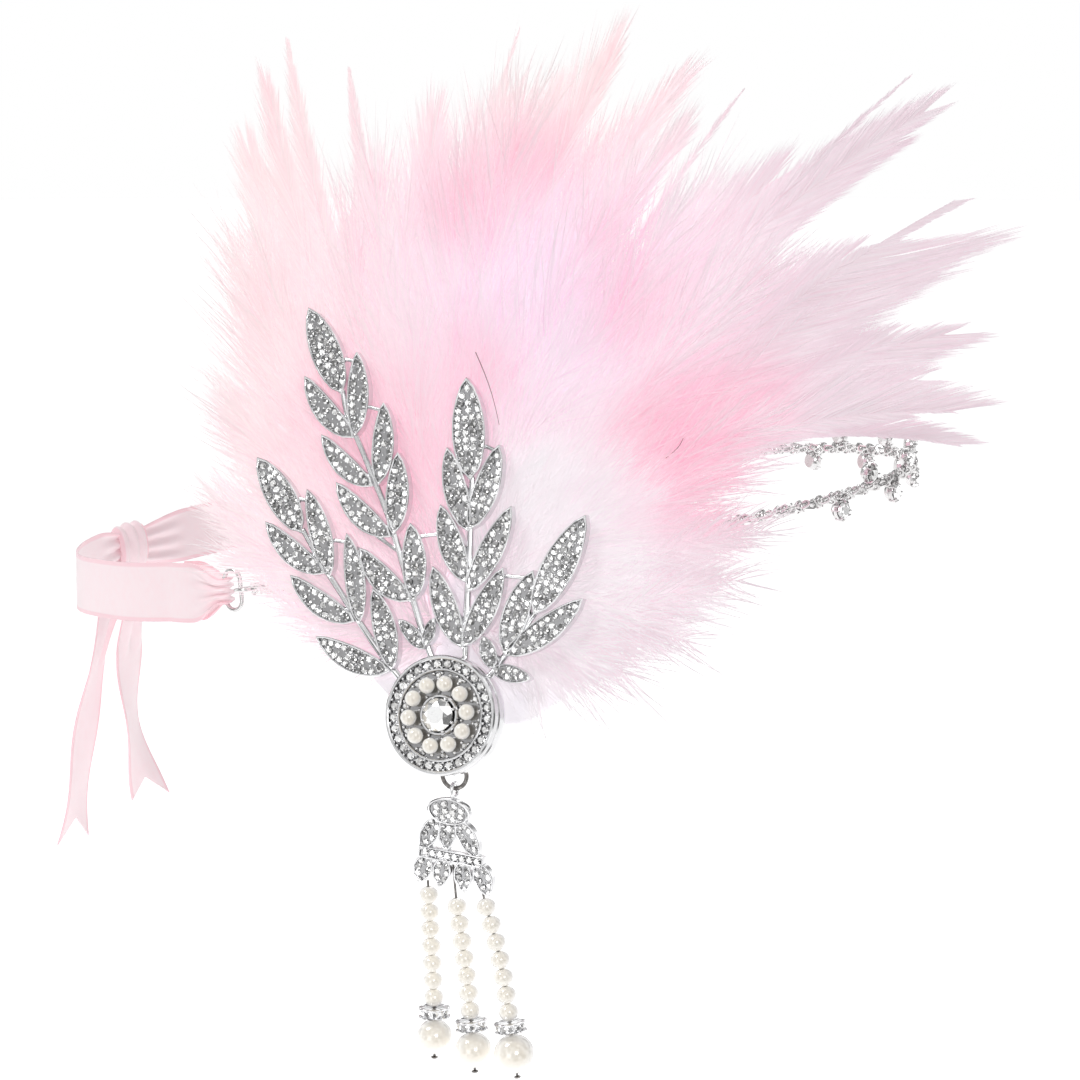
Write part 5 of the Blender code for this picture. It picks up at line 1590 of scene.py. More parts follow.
class HEADBAND_OT_stage(bpy.types.Operator):
    """Camera at the photograph's angle, pale floor, white surroundings and soft lights"""

    bl_idname = "headband.stage"
    bl_label = "Stage"

    def execute(self, context):
        self.camera(context.scene)
        self.floor()
        self.surroundings(context.scene)
        self.lights()
        context.scene.view_settings.view_transform = "Standard"
        return {"FINISHED"}

    def camera(self, scene):
        """Camera that looks at the loop's middle, shifted as the photograph is framed."""
        data = bpy.data.cameras.new("camera")
        data.lens = CAMERA_LENS
        data.sensor_width = 36.0
        data.shift_x = (0.5 * FRAME_PIXELS - MIDDLE_PIXEL[0]) / FRAME_PIXELS
        data.shift_y = -(0.5 * FRAME_PIXELS - MIDDLE_PIXEL[1]) / FRAME_PIXELS
        data.clip_start = 0.05
        camera = bpy.data.objects.new("camera", data)
        scene.collection.objects.link(camera)
        back = Vector((
            math.sin(CAMERA_AZIMUTH) * math.cos(CAMERA_ELEVATION),
            -math.cos(CAMERA_AZIMUTH) * math.cos(CAMERA_ELEVATION), math.sin(CAMERA_ELEVATION)))
        camera.location = back * CAMERA_DISTANCE
        camera.rotation_mode = "QUATERNION"
        camera.rotation_quaternion = (-back).to_track_quat("-Z", "Y")
        scene.camera = camera

    def floor(self):
        """Wide pale round floor, mostly beyond the headband as the camera looks."""
        leave_edit_mode()
        away = Vector((-math.sin(CAMERA_AZIMUTH), math.cos(CAMERA_AZIMUTH), 0.0)) * FLOOR_AWAY
        bpy.ops.mesh.primitive_circle_add(
            vertices=96, radius=FLOOR_RADIUS, fill_type="NGON",
            location=(away.x, away.y, settings().floor_height))
        floor = bpy.context.object
        floor.name = "floor"
        paint = Finish("floor_paper", (0.70, 0.70, 0.70), 0.9, 0.0)
        paint.feed("Emission Color", (1.0, 1.0, 1.0))
        paint.feed("Emission Strength", FLOOR_GLOW)
        paint.feed("Roughness", paint.scaled(paint.noise(30.0, 3.0), 0.3, 0.7, 0.85, 0.95))
        floor.data.materials.append(paint.material)

    def surroundings(self, scene):
        """White room for the eye, and for reflections a bright ceiling over greyer walls."""
        world = bpy.data.worlds.new("room")
        world.use_nodes = True
        scene.world = world
        tree = world.node_tree
        tree.nodes.clear()

        def node(kind, output, **inputs):
            made = tree.nodes.new(f"ShaderNode{kind}")
            for name, value in inputs.items():
                socket = made.inputs[int(name[1:]) if name[1:].isdigit() else name.replace("_", " ")]
                if isinstance(value, bpy.types.NodeSocket):
                    tree.links.new(value, socket)
                else:
                    socket.default_value = value
            return made.outputs[output] if output is not None else made

        def greys(value, stops):
            ramp = node("ValToRGB", None, _0=value)
            elements = ramp.color_ramp.elements
            while len(elements) < len(stops):
                elements.new(0.5)
            for element, (place, grey) in zip(elements, stops):
                element.position = place
                element.color = (grey, grey, grey, 1.0)
            return ramp.outputs[0]

        spot = node("TexCoord", "Generated")
        height = node("MapRange", 0, Value=node("SeparateXYZ", "Z", _0=spot), From_Min=-1.0)
        light = node("Background", 0, Strength=ROOM_STRENGTH, Color=greys(height, ROOM_GREYS))
        panels = node("TexNoise", 0, Vector=spot, Scale=PANEL_SCALE, Detail=1.0)
        mirrored = node("Background", 0, Color=greys(panels, PANEL_GREYS))
        seen = node("Background", 0, Color=(1.0, 1.0, 1.0, 1.0), Strength=1.0)
        shine = node("MixShader", 0, _0=node("LightPath", "Is Glossy Ray"), _1=light, _2=mirrored)
        whole = node("MixShader", 0, _0=node("LightPath", "Is Camera Ray"), _1=shine, _2=seen)
        node("OutputWorld", None, Surface=whole)

    def lights(self):
        """Soft boxes: a key from the upper left, a front fill, a rim from behind."""
        for name, place, size, share in LIGHTS:
            data = bpy.data.lights.new(name, "AREA")
            data.shape = "SQUARE"
            data.size = size
            data.energy = share * settings().key_power
            lamp = bpy.data.objects.new(name, data)
            bpy.context.scene.collection.objects.link(lamp)
            lamp.location = place
            lamp.rotation_mode = "QUATERNION"
            lamp.rotation_quaternion = (-Vector(place)).to_track_quat("-Z", "Y")


class HEADBAND_OT_plume(bpy.types.Operator):
    """Fan of marabou down, pointed feathers and white hooked fluff"""

    bl_idname = "headband.plume"
    bl_label = "Feather plume"

    def execute(self, context):
        self.shafts = []
        self.down(np.random.default_rng(11))
        self.front_down(np.random.default_rng(23))
        self.feathers(np.random.default_rng(37))
        self.white_fluff(np.random.default_rng(41))
        plume_piece("plume_quills", quills("plume_quills", self.shafts))
        self.dark_hairs()
        return {"FINISHED"}

    def dark_hairs(self):
        """A few dark hairs that lie on the fluff."""
        lines = []
        for u0, v0, u1, v1 in DARK_HAIRS:
            s = np.linspace(0.0, 1.0, 8)[:, None]
            start = np.array((u0, v0, HAIR_DEPTHS[0])) * MM
            end = np.array((u1, v1, HAIR_DEPTHS[1])) * MM
            bow = np.array((HAIR_BOW, 0.0, 0.0)) * np.sin(math.pi * s)
            lines.append((start * (1.0 - s) + end * s + bow, *HAIR_WIDTHS, DARK_HAIR))
        mesh = quills("plume_dark_hairs", lines)
        mesh.transform(BROOCH)
        dressed(linked("plume_dark_hairs", mesh), "dark_hair", "root")

    def jittered(self, rng, row, turn, share, bend):
        """A soft lock's row moved a little, for one of its feathers, whose barbs reach on past its quill."""
        angle, reach, middle, tip = row
        return (
            angle + rng.normal(0.0, turn), (reach - BARBS_PAST_QUILL) * share * rng.uniform(0.95, 1.03),
            middle + rng.normal(0.0, 0.8), tip + rng.normal(0.0, 1.6), bend + rng.normal(0.0, 1.6))

    def down(self, rng):
        """Long marabou that fills the fan."""
        fields = [Barbs(4), Barbs(4)]
        for number, row in enumerate(FLUFF_LOCKS):
            swirl = -6.0 if -45.0 < row[0] < 70.0 else -2.0
            for share in LOCK_LAYERS:
                if rng.random() > settings().feather_fullness:
                    continue
                line = quill_line(self.jittered(rng, row, 3.0, share, swirl), 24, 0.20, 1.0)
                size = min(1.0, row[1] / 95.0) ** 0.8 * rng.uniform(0.85, 1.1)
                DOWN.grow(fields[number % 2], rng, line, size, rng.normal(0.02, 0.06), rng.normal(0.0, 0.35))
                self.shafts.append((line, *DOWN_QUILL, CREAM))
        for number, field in enumerate(fields):
            replaces = ("feather_plume",) if number == 0 else ()
            mesh = field.mesh(f"plume_down_{number + 1}", tint_table(PLUME_TINTS))
            plume_piece(f"plume_down_{number + 1}", mesh, replaces)

    def front_down(self, rng):
        """Shorter fluff over the front of the fan, which hides the shafts."""
        field = Barbs(3)
        for row in FLUFF_LOCKS:
            for share in FRONT_LAYERS:
                angle, reach, middle, _, bend = self.jittered(rng, row, 4.0, share, -4.0)
                line = quill_line((angle, reach, middle + 1.4, middle + 3.0, bend), 14, 0.35, 1.0)
                size = min(1.0, row[1] / 80.0) * rng.uniform(0.8, 1.1)
                SHORT_DOWN.grow(field, rng, line, size, rng.normal(0.0, 0.06), rng.normal(0.0, 0.4))
        plume_piece("plume_front_down", field.mesh("plume_front_down", tint_table(PLUME_TINTS)))

    def feathers(self, rng):
        """Pointed feathers that stand out of the fan."""
        field = Barbs(3)
        for angle, reach, middle, tip, bend, kind, left, right in FEATHERS:
            line = quill_line((angle, reach, middle, tip, bend), 40, 0.42, 1.0)
            KINDS[kind].grow(field, rng, line, 1.0, 0.0, rng.normal(0.0, 0.15), (left, right))
            self.shafts.append((line, *FEATHER_QUILL, QUILL_AND_SHADE_MAUVE))
        plume_piece("plume_feathers", field.mesh("plume_feathers", tint_table(PLUME_TINTS, 0.10, 0.12)))

    def white_fluff(self, rng):
        """White feathers low at the front, their barbs hooked."""
        field = Barbs(4)
        for index in range(WHITE_FEATHERS):
            angle = WHITE_START + WHITE_SWEEP * index / (WHITE_FEATHERS - 1) + rng.normal(0.0, 2.0)
            edge = np.interp(angle, WHITE_ANGLES, WHITE_REACHES)
            reach = edge * rng.uniform(0.85, 1.02)
            tip = -6.5 + rng.normal(0.0, 1.5)
            bend = -2.0 + rng.normal(0.0, 1.5)
            line = quill_line((angle, reach, -8.2, tip, bend), 20, 0.22, 1.0)
            HOOKS.grow(field, rng, line, rng.uniform(0.6, 0.9), 0.0, rng.normal(0.0, 0.3))
            self.shafts.append((line, *FLUFF_QUILL, COOL_WHITE))
            if index % 3 == 0 and angle > 58.0:
                stray = (angle + 2.0, 1.14 * edge, -7.6, -6.0, -3.0)
                STRAYS.grow(field, rng, quill_line(stray, 20, 0.45, 1.0), rng.uniform(0.8, 1.1))
        plume_piece("plume_white_fluff", field.mesh("plume_white_fluff", tint_table(WHITE_TINTS, 0.0, 0.05)))


class HEADBAND_OT_pad(bpy.types.Operator):
    """Felt fan behind the brooch"""

    bl_idname = "headband.pad"
    bl_label = "Felt pad"

    def execute(self, context):
        outline = [Vector((u * MM, v * MM)) for u, v in PAD_OUTLINE]
        for cut in (0.14, 0.25):
            outline = [
                point for a, b in zip(outline, outline[1:] + outline[:1])
                for point in (a.lerp(b, cut), b.lerp(a, cut))]
        mesh = bpy.data.meshes.new("felt_pad")
        mesh.from_pydata([(p.x, p.y, PAD_BACK) for p in outline], [], [tuple(range(len(outline)))])
        pad = linked("felt_pad", mesh)
        edit(pad)
        bpy.ops.mesh.select_all(action="SELECT")
        bpy.ops.mesh.extrude_region_move(TRANSFORM_OT_translate={"value": (0.0, 0.0, PAD_THICKNESS)})
        leave_edit_mode()
        outward_normals(pad)
        bevel(pad, 0.0005, 3)
        smooth(pad)
        placed(pad, BROOCH)
        dressed(pad, "felt", "root", ("backing_pad",))
        area = 0.5 * abs(sum(a.x * b.y - b.x * a.y for a, b in zip(outline, outline[1:] + outline[:1])))
        return {"FINISHED"}


class HEADBAND_OT_spray(bpy.types.Operator):
    """Pierced leaf spray with its stones and grains"""

    bl_idname = "headband.spray"
    bl_label = "Leaf spray"

    def execute(self, context):
        leaves = leaf_rows(SPRIG_LEAVES)
        wide = [leaf for leaf in leaves if leaf[2] > NARROW_LEAF]
        narrow = [leaf for leaf in leaves if leaf[2] <= NARROW_LEAF]
        parts = [
            leaf_castings("wide_leaves", wide, LEAF_BACK, LEAF_DEPTH, LEAF_RIM, LEAF_BED),
            leaf_castings("narrow_leaves", narrow, LEAF_BACK, LEAF_DEPTH, 0.7 * LEAF_RIM, LEAF_BED)]
        parts += self.stems() + [self.hub(), self.eyelet()]
        stone = settings().leaf_stone
        stones, grains = [], []
        height = LEAF_BACK + LEAF_DEPTH - LEAF_BED
        for leaf in leaves:
            small = leaf[2] <= NARROW_LEAF
            size = stone * (0.95 if small else 1.0)
            rim = 0.7 * LEAF_RIM if small else LEAF_RIM
            found, between = leaf_stone_places(leaf, height, size, rim)
            stones += [
                at((x, y, z + 0.30 * fit), fit, 0.7 * x / MM) @ rocked(x / MM) for x, y, z, fit in found]
            grains += [at((x, y, z + 0.12 * MM), 0.20 * MM) for x, y, z in between]
        parts.append(grains_on("leaf_grains", grains))
        spray = joined("spray_casting", parts)
        placed(spray, BROOCH)
        dressed(spray, "cast_silver", "root", ("leaf_spray",))
        stones_on("spray_stones", [BROOCH @ place for place in stones], "root")
        return {"FINISHED"}

    def stems(self):
        """Stems and struts as round wires."""
        made = []
        middle = LEAF_BACK + 0.5 * LEAF_DEPTH
        low = HUB_FRONT - 0.72 * STEM_RADIUS
        for sprig, stem in SPRIG_STEMS.items():
            heights = [middle] * (len(stem) - 2) + [low] * 2
            points = [Vector((u * MM, v * MM, w)) for (u, v), w in zip(stem, heights)]
            line = smooth_line(points, 6)
            radii = [0.8 + 0.4 * index / len(line) for index in range(len(line))]
            made.append(smooth(tube(f"stem_{sprig}", line, STEM_RADIUS, 3, radii), 60.0))
        for index, (u0, v0, u1, v1) in enumerate(STRUTS):
            ends = [Vector((u0 * MM, v0 * MM, middle)), Vector((u1 * MM, v1 * MM, middle))]
            made.append(smooth(tube(f"strut_{index}", ends, STRUT_RADIUS, 3), 60.0))
        return made

    def hub(self):
        """Round plate that the stems run into."""
        profile = [(0.0, HUB_FRONT), (HUB_RADIUS, HUB_FRONT), (HUB_RADIUS, HUB_BACK), (0.0, HUB_BACK)]
        made = lathe("hub", profile, 64)
        return smooth(bevel(made, 0.0002))

    def eyelet(self):
        """Wire eyelet below the hub, which the jump ring hangs in."""
        ring = ring_wire("eyelet", EYELET_RADIUS, EYELET_RADIUS, EYELET_WIRE, 32, 3)
        turn = Matrix.Rotation(math.radians(90.0), 4, "Y")
        return placed(ring, Matrix.Translation(EYELET_PLACE) @ turn)


class HEADBAND_OT_medallion(bpy.types.Operator):
    """Round drum with its channel of stones, pearls and centre brilliant"""

    bl_idname = "headband.medallion"
    bl_label = "Medallion"

    def execute(self, context):
        self.drum()
        self.channel()
        self.pearls()
        self.centre()
        return {"FINISHED"}

    def drum(self):
        """Turned drum with raised lips and a collet, and rows of metal grains."""
        back = -MEDALLION_DEPTH / MM
        outline = [
            (0.0, -0.8), (3.2, -0.8), (3.35, 0.15), (3.6, 0.45), (3.95, 0.45), (4.15, 0.2), (4.2, -0.8),
            (8.7, -0.8), (8.8, -0.1), (8.95, 0.05), (9.15, 0.05), (9.3, -0.1), (9.35, -0.8), (11.05, -0.8),
            (11.15, -0.1), (11.35, 0.05), (11.7, 0.05), (11.95, -0.2), (12.0, -0.5), (12.0, -1.5),
            (11.8, -1.7), (11.8, -2.3), (12.0, -2.5), (12.0, back + 0.25), (11.8, back), (0.0, back)]
        drum = lathe("medallion_drum", [(r * MM, w * MM) for r, w in outline], MEDALLION_STEPS)
        bed_marked(drum, -0.8 * MM)
        smooth(drum, 30.0)
        grains = []
        for index in range(CHANNEL_STONES):
            turn = 2 * math.pi * (index + 0.5) / CHANNEL_STONES
            for radius in (9.45 * MM, 10.95 * MM):
                grains.append(at(round_spot(radius, turn, -0.25 * MM), 0.30 * MM))
        for index in range(MEDALLION_PEARLS):
            turn = 2 * math.pi * (index + 0.75) / MEDALLION_PEARLS
            for radius, side in ((8.35 * MM, -0.11), (8.35 * MM, 0.11), (4.65 * MM, 0.0), (7.2 * MM, 0.0)):
                grains.append(at(round_spot(radius, turn + side, -0.5 * MM), 0.36 * MM))
        for index in range(8):
            turn = 2 * math.pi * (index + 0.5) / 8
            grains.append(at(round_spot(3.45 * MM, turn, 0.9 * MM), 0.38 * MM))
        made = joined("medallion_drum", [drum, grains_on("drum_grains", grains, 10, 6)])
        placed(made, BROOCH)
        dressed(made, "drum_silver", "root", ("medallion",))

    def channel(self):
        """Ring of stones between the drum's lips."""
        places = []
        for index in range(CHANNEL_STONES):
            turn = 2 * math.pi * index / CHANNEL_STONES
            spot = round_spot(CHANNEL_CIRCLE, turn, -0.42 * MM)
            places.append(BROOCH @ at(spot, CHANNEL_STONE_RADIUS, turn))
        for index in range(MEDALLION_PEARLS):
            for circle, half_turn, size in ((8.0 * MM, 0.75, 0.62 * MM), (8.1 * MM, 0.25, 0.42 * MM)):
                turn = 2 * math.pi * (index + half_turn) / MEDALLION_PEARLS
                places.append(BROOCH @ at(round_spot(circle, turn, -0.62 * MM), size, turn))
        stones_on("medallion_stones", places, "root")

    def pearls(self):
        """Ten round pearls about the collet."""
        for index in range(MEDALLION_PEARLS):
            turn = 2 * math.pi * (index + 0.25) / MEDALLION_PEARLS
            spot = round_spot(MEDALLION_PEARL_CIRCLE, turn, MEDALLION_PEARL_RADIUS + GAP - 0.8 * MM)
            leave_edit_mode()
            bpy.ops.mesh.primitive_uv_sphere_add(segments=24, ring_count=14, radius=PEARL_LOOK)
            pearl = bpy.context.object
            pearl.name = f"round_pearl_{index + 1:02d}"
            smooth(pearl, 60.0)
            placed(pearl, BROOCH @ Matrix.Translation(spot))
            node = f"medallion_pearl_{index + 1:02d}"
            dressed(pearl, "pearl", "root", (node,))

    def centre(self):
        """Round brilliant in the collet."""
        step = math.pi / 8
        stone = cut_stone("centre_brilliant", [
            (0.56, 0.34, 8, step), (0.78, 0.22, 8, 0.0), (1.0, 0.02, 16, 0.5 * step),
            (0.985, -0.06, 16, 0.5 * step), (0.55, -0.32, 8, step), (0.12, -0.42, 8, 0.0)])
        placed(stone, BROOCH @ at((0.0, 0.0, 1.05 * MM), CENTRE_STONE_RADIUS))
        dressed(stone, "clear_stone", "root", ("centre_stone",))


class HEADBAND_OT_drop(bpy.types.Operator):
    """Jump ring, drop casting, pins, pearls and rondelles"""

    bl_idname = "headband.drop"
    bl_label = "Pearl drop"

    def execute(self, context):
        ring = ring_wire("jump_ring_wire", JUMP_RING_RADIUS, JUMP_RING_RADIUS, RING_LINK_WIRE, 40, 3)
        placed(ring, DROP)
        dressed(ring, "dark_wire", "ring_link", ("jump_ring",))
        self.casting()
        for number, row in enumerate(STRANDS, start=1):
            self.strand(number, row)
        return {"FINISHED"}

    def casting(self):
        """Soldered casting: loop, oval, leaves, bar and petals, with stones."""
        tilt = Matrix.Rotation(DROP_TILT, 4, "Z")
        leaves = [
            ((bu * MM, bz * MM), (tu * MM, tz * MM), DROP_LEAF_FULLER * width * MM, 0.0)
            for bu, bz, tu, tz, width in DROP_LEAVES]
        parts = [leaf_castings("drop_leaves", leaves, CASTING_BACK, CASTING_DEPTH, 0.34 * MM, 0.50 * MM)]
        seat = DROP_LOOP_RADIUS - DROP_LOOP_WIRE - GAP - RING_LINK_WIRE
        loop = ring_wire("drop_loop", DROP_LOOP_RADIUS, DROP_LOOP_RADIUS, DROP_LOOP_WIRE, 28, 3)
        turn = Matrix.Rotation(math.radians(90.0), 4, "Y")
        parts.append(placed(loop, Matrix.Translation((0.0, -JUMP_RING_RADIUS - seat, 0.0)) @ turn))
        parts += [self.bar(tilt), self.oval(tilt)]
        stones, grains = [], []
        height = CASTING_BACK + CASTING_DEPTH - 0.50 * MM
        for leaf in leaves:
            found, between = leaf_stone_places(leaf, height, 0.66 * MM, 0.34 * MM)
            stones += [at((x, y, z + 0.20 * MM), fit) @ rocked(x / MM) for x, y, z, fit in found]
            grains += [at((x, y, z + 0.10 * MM), 0.18 * MM) for x, y, z in between]
        bar = Matrix.Translation(DROP_BAR_PLACE) @ tilt
        for index in range(8):
            x = (index - 3.5) * 1.62 * MM
            stones.append(bar @ at((x, 0.0, 0.80 * MM), 0.74 * MM))
            grains.append(bar @ at((x + 0.81 * MM, 0.62 * MM, 0.85 * MM), 0.2 * MM))
            grains.append(bar @ at((x + 0.81 * MM, -0.62 * MM, 0.85 * MM), 0.2 * MM))
        oval = Matrix.Translation(OVAL_PLACE) @ tilt
        for along, across, rows in ((0.85, 0.0, 2), (2.95, 1.45, 8)):
            for index in range(rows):
                angle = 2 * math.pi * (index + 0.5 * (rows == 8)) / rows
                spot = (along * MM * math.cos(angle), across * MM * math.sin(angle), 0.80 * MM)
                stones.append(oval @ at(spot, 0.80 * MM, angle))
        stones.append(at((-0.9 * MM, -10.9 * MM, 0.75 * MM), 0.75 * MM))
        parts.append(grains_on("drop_grains", grains))
        casting = joined("drop_setting", parts)
        placed(casting, DROP)
        dressed(casting, "cast_silver", "drop", ("drop_casting",))
        stones_on("drop_stones", [DROP @ place for place in stones], "drop")

    def bar(self, tilt):
        """Sloping bar with a sunken channel."""
        leave_edit_mode()
        bpy.ops.mesh.primitive_cube_add(size=1.0)
        bar = bpy.context.object
        bar.name = "drop_bar"
        bar.data.transform(Matrix.Diagonal((*DROP_BAR_SIZE, 1.0)))
        edit(bar)
        pick_faces(bar, lambda face: face.normal.z > 0.9)
        bpy.ops.mesh.inset(thickness=0.30 * MM, depth=0.0)
        bpy.ops.mesh.inset(thickness=RIM_SLOPE, depth=0.0)
        bpy.ops.transform.translate(value=(0.0, 0.0, -0.45 * MM))
        leave_edit_mode()
        bed_marked(bar, 0.55 * MM, 0.25 * MM)
        bevel(bar, 0.00014, 2, 60.0)
        smooth(bar)
        return placed(bar, Matrix.Translation(DROP_BAR_PLACE) @ tilt)

    def oval(self, tilt):
        """Oval dish with a rounded wall."""
        front, back, r = OVAL_FRONT / MM, OVAL_BACK / MM, OVAL_RADIUS / MM
        outline = [
            (0.0, front - 0.45), (r - 0.42, front - 0.45), (r - 0.34, front - 0.05), (r - 0.2, front),
            (r - 0.06, front - 0.06), (r, front - 0.25), (r, back + 0.2), (r - 0.2, back), (0.0, back)]
        dish = lathe("drop_oval", [(x * MM, z * MM) for x, z in outline], 48)
        bed_marked(dish, OVAL_FRONT - 0.45 * MM)
        smooth(dish)
        stretch = Matrix.Diagonal((OVAL_STRETCH, 1.0, 1.0, 1.0))
        return placed(dish, Matrix.Translation(OVAL_PLACE) @ tilt @ stretch)

    def strand(self, number, row):
        """Small pearls, a rondelle and a large pearl on a head pin."""
        centres, rondelle, large = strand_points(row)
        path = centres + [rondelle, large]
        for index, centre in enumerate(path):
            before = path[max(index - 1, 0)]
            after = path[min(index + 1, len(path) - 1)]
            place = aimed(DROP @ centre, (DROP @ before) - (DROP @ after))
            if index < STRAND_BEADS:
                profile = bead_profile(BEAD_RADIUS, BEAD_LOOK, BORE_RADIUS, 13)
                bead = smooth(lathe(f"bead_{number}_{index + 1}", profile, 24), 60.0)
                placed(bead, place)
                dressed(bead, "pearl", "drop", (f"pearl_{number}_{index + 1}",))
            elif index == STRAND_BEADS:
                self.rondelle(number, place)
            else:
                radius = row[-1] * MM
                profile = bead_profile(radius, 0.97 * radius, BORE_RADIUS, 19)
                pearl = smooth(lathe(f"end_pearl_{number}", profile, 36), 60.0)
                placed(pearl, place)
                dressed(pearl, "pearl", "drop", (f"large_pearl_{number}",))
        self.pin(number, path, row)

    def rondelle(self, number, place):
        """Silver spacer with wavy rims and a ring of stones."""
        half, radius = RONDELLE_HALF_LENGTH, RONDELLE_RADIUS
        profile = [
            (BORE_RADIUS, half - 0.15 * MM), (2.2 * MM, half - 0.15 * MM), (radius - 0.25 * MM, half),
            (radius, half - 0.12 * MM), (radius - 0.1 * MM, half - 0.32 * MM), (2.55 * MM, half - 0.4 * MM),
            (2.55 * MM, -half + 0.4 * MM), (radius - 0.1 * MM, -half + 0.32 * MM),
            (radius, -half + 0.12 * MM), (radius - 0.25 * MM, -half),
            (2.2 * MM, -half + 0.15 * MM), (BORE_RADIUS, -half + 0.15 * MM)]
        disc = lathe(f"rondelle_disc_{number}", profile, 66)
        for corner in disc.data.vertices:
            spread = math.hypot(corner.co.x, corner.co.y)
            if spread > 2.8 * MM:
                wave = math.cos(RONDELLE_STONES * math.atan2(corner.co.y, corner.co.x))
                corner.co.z += math.copysign(0.08 * MM, corner.co.z) * (wave - 1.0)
        smooth(disc)
        placed(disc, place)
        dressed(disc, "cast_silver", "drop", (f"rondelle_{number}",))
        places = []
        for index in range(RONDELLE_STONES):
            turn = Matrix.Rotation(2 * math.pi * (index + 0.5) / RONDELLE_STONES, 4, "Z")
            face = Matrix.Rotation(math.radians(90.0), 4, "Y")
            out = turn @ Matrix.Translation((2.62 * MM, 0.0, 0.0)) @ face
            places.append(place @ out @ Matrix.Scale(0.70 * MM, 4))
        stones_on(f"rondelle_stones_{number}", places, "drop")

    def pin(self, number, path, row):
        """Head pin from between the petals to its head below the large pearl."""
        last = (path[-1] - path[-2]).normalized()
        top = Vector((row[0] * MM, row[1] * MM, 0.0))
        foot = path[-1] + last * (row[-1] * MM + GAP)
        line = smooth_line([top] + path + [foot], 4)
        line += [foot + last * PIN_RADIUS, foot + last * (PIN_RADIUS + PIN_HEAD_DEPTH)]
        radii = [1.0] * (len(line) - 2) + [3.0, 2.2]
        pin = smooth(tube(f"pin_wire_{number}", line, PIN_RADIUS, 2, radii), 60.0)
        placed(pin, DROP)
        dressed(pin, "dark_wire", "drop", (f"head_pin_{number}",))


class HEADBAND_OT_chains(bpy.types.Operator):
    """Rope chains with claw-set stones, and the oval rings"""

    bl_idname = "headband.chains"
    bl_label = "Chains"

    def execute(self, context):
        link = ring_wire("rope_link", 0.60 * MM, 1.05 * MM, 0.28 * MM, 10, 1)
        near_angle = NEAR_RING_ANGLE - angle_of(ROPE_END_REACH, NEAR_RING_ANGLE)
        near_line = sewn_lead(NEAR_CHAIN_SEAT, near_angle, NEAR_CHAIN_POINTS, side=1.0)
        step = angle_of(END_LINK_REACH, FAR_RING_ANGLE)
        long_rope = repeated("rope_front", link, rope_places(chain_path()))
        front = joined("rope_front", [long_rope, self.end_link(FAR_RING_ANGLE + step)] + self.cups())
        dressed(front, "chain_silver", "root", ("rope_chain_front",))
        short_rope = repeated("rope_near", link, rope_places(near_line))
        near = joined("rope_near", [short_rope, self.end_link(NEAR_RING_ANGLE - step)])
        dressed(near, "chain_silver", "root", ("rope_chain_near",))
        removed(link)
        for name, angle in (("near", NEAR_RING_ANGLE), ("far", FAR_RING_ANGLE)):
            ring = ring_wire(
                f"oval_ring_{name}", BAND_RING_HALF_LENGTH, BAND_RING_HALF_HEIGHT, BAND_RING_WIRE, 40, 3)
            placed(ring, band_frame(angle, CHAIN_STANDOFF))
            dressed(ring, "chain_silver", "root", (f"ribbon_ring_{name}",))
        return {"FINISHED"}

    def end_link(self, angle):
        """Small link that joins a rope to its oval ring."""
        link = ring_wire("end_link", END_LINK_HALF_HEIGHT, END_LINK_HALF_LENGTH, END_LINK_WIRE, 24, 2)
        turn = Matrix.Rotation(math.radians(90.0), 4, "X") @ Matrix.Rotation(math.radians(90.0), 4, "Z")
        return placed(link, band_frame(angle, CHAIN_STANDOFF) @ turn)

    def cups(self):
        """Deep claw cups along the front of the chain, and their stones."""
        cup = self.cup()
        places, stones = [], []
        angle = CHAIN_STONE_START
        for index in range(CHAIN_STONES):
            side = -1.0 if index % 2 == 0 else 1.0
            aside = Matrix.Translation((0.0, side * CHAIN_STONE_OFFSET, 0.0))
            place = band_frame(angle, CHAIN_STANDOFF) @ aside
            places.append(place)
            stones.append(place @ at((0.0, 0.0, 1.05 * MM), CHAIN_STONE_RADIUS))
            angle -= angle_of(CHAIN_STONE_PITCH, angle)
        made = repeated("stone_cups", cup, places)
        removed(cup)
        half = math.pi / 8
        cut = cut_stone("chaton", [
            (0.52, 0.40, 8, half), (0.80, 0.24, 8, 0.0), (1.0, 0.0, 16, 0.5 * half), (0.45, -0.5, 8, half)])
        stones_on("chain_stones", stones, "root", cut)
        return [made]

    def cup(self):
        """One cup with four double claws."""
        r = CUP_RADIUS / MM
        outline = [
            (0.0, 0.45), (r - 0.55, 0.5), (r - 0.35, 0.9), (r - 0.12, 0.95), (r, 0.75), (r, 0.45),
            (r - 0.16, 0.3), (r - 0.16, 0.0), (r, -0.15), (r - 0.1, -0.5), (0.75 * r, -1.1),
            (0.7 * r, -1.2), (0.0, -1.2)]
        body = smooth(lathe("cup", [(x * MM, z * MM) for x, z in outline], 24))
        claws = []
        for index in range(8):
            angle = math.radians(45.0 * index + (8.0 if index % 2 else -8.0))
            spot = Vector((math.cos(angle), math.sin(angle), 0.0))
            claws.append(tube("claw", [
                spot * (r * 0.99 * MM) + Vector((0, 0, -0.1 * MM)),
                spot * (r * MM) + Vector((0, 0, 1.0 * MM)),
                spot * ((r - 0.42) * MM) + Vector((0, 0, 1.62 * MM))], 0.24 * MM, 1, [1.0, 1.0, 0.8]))
        return smooth(joined("cup", [body] + claws))


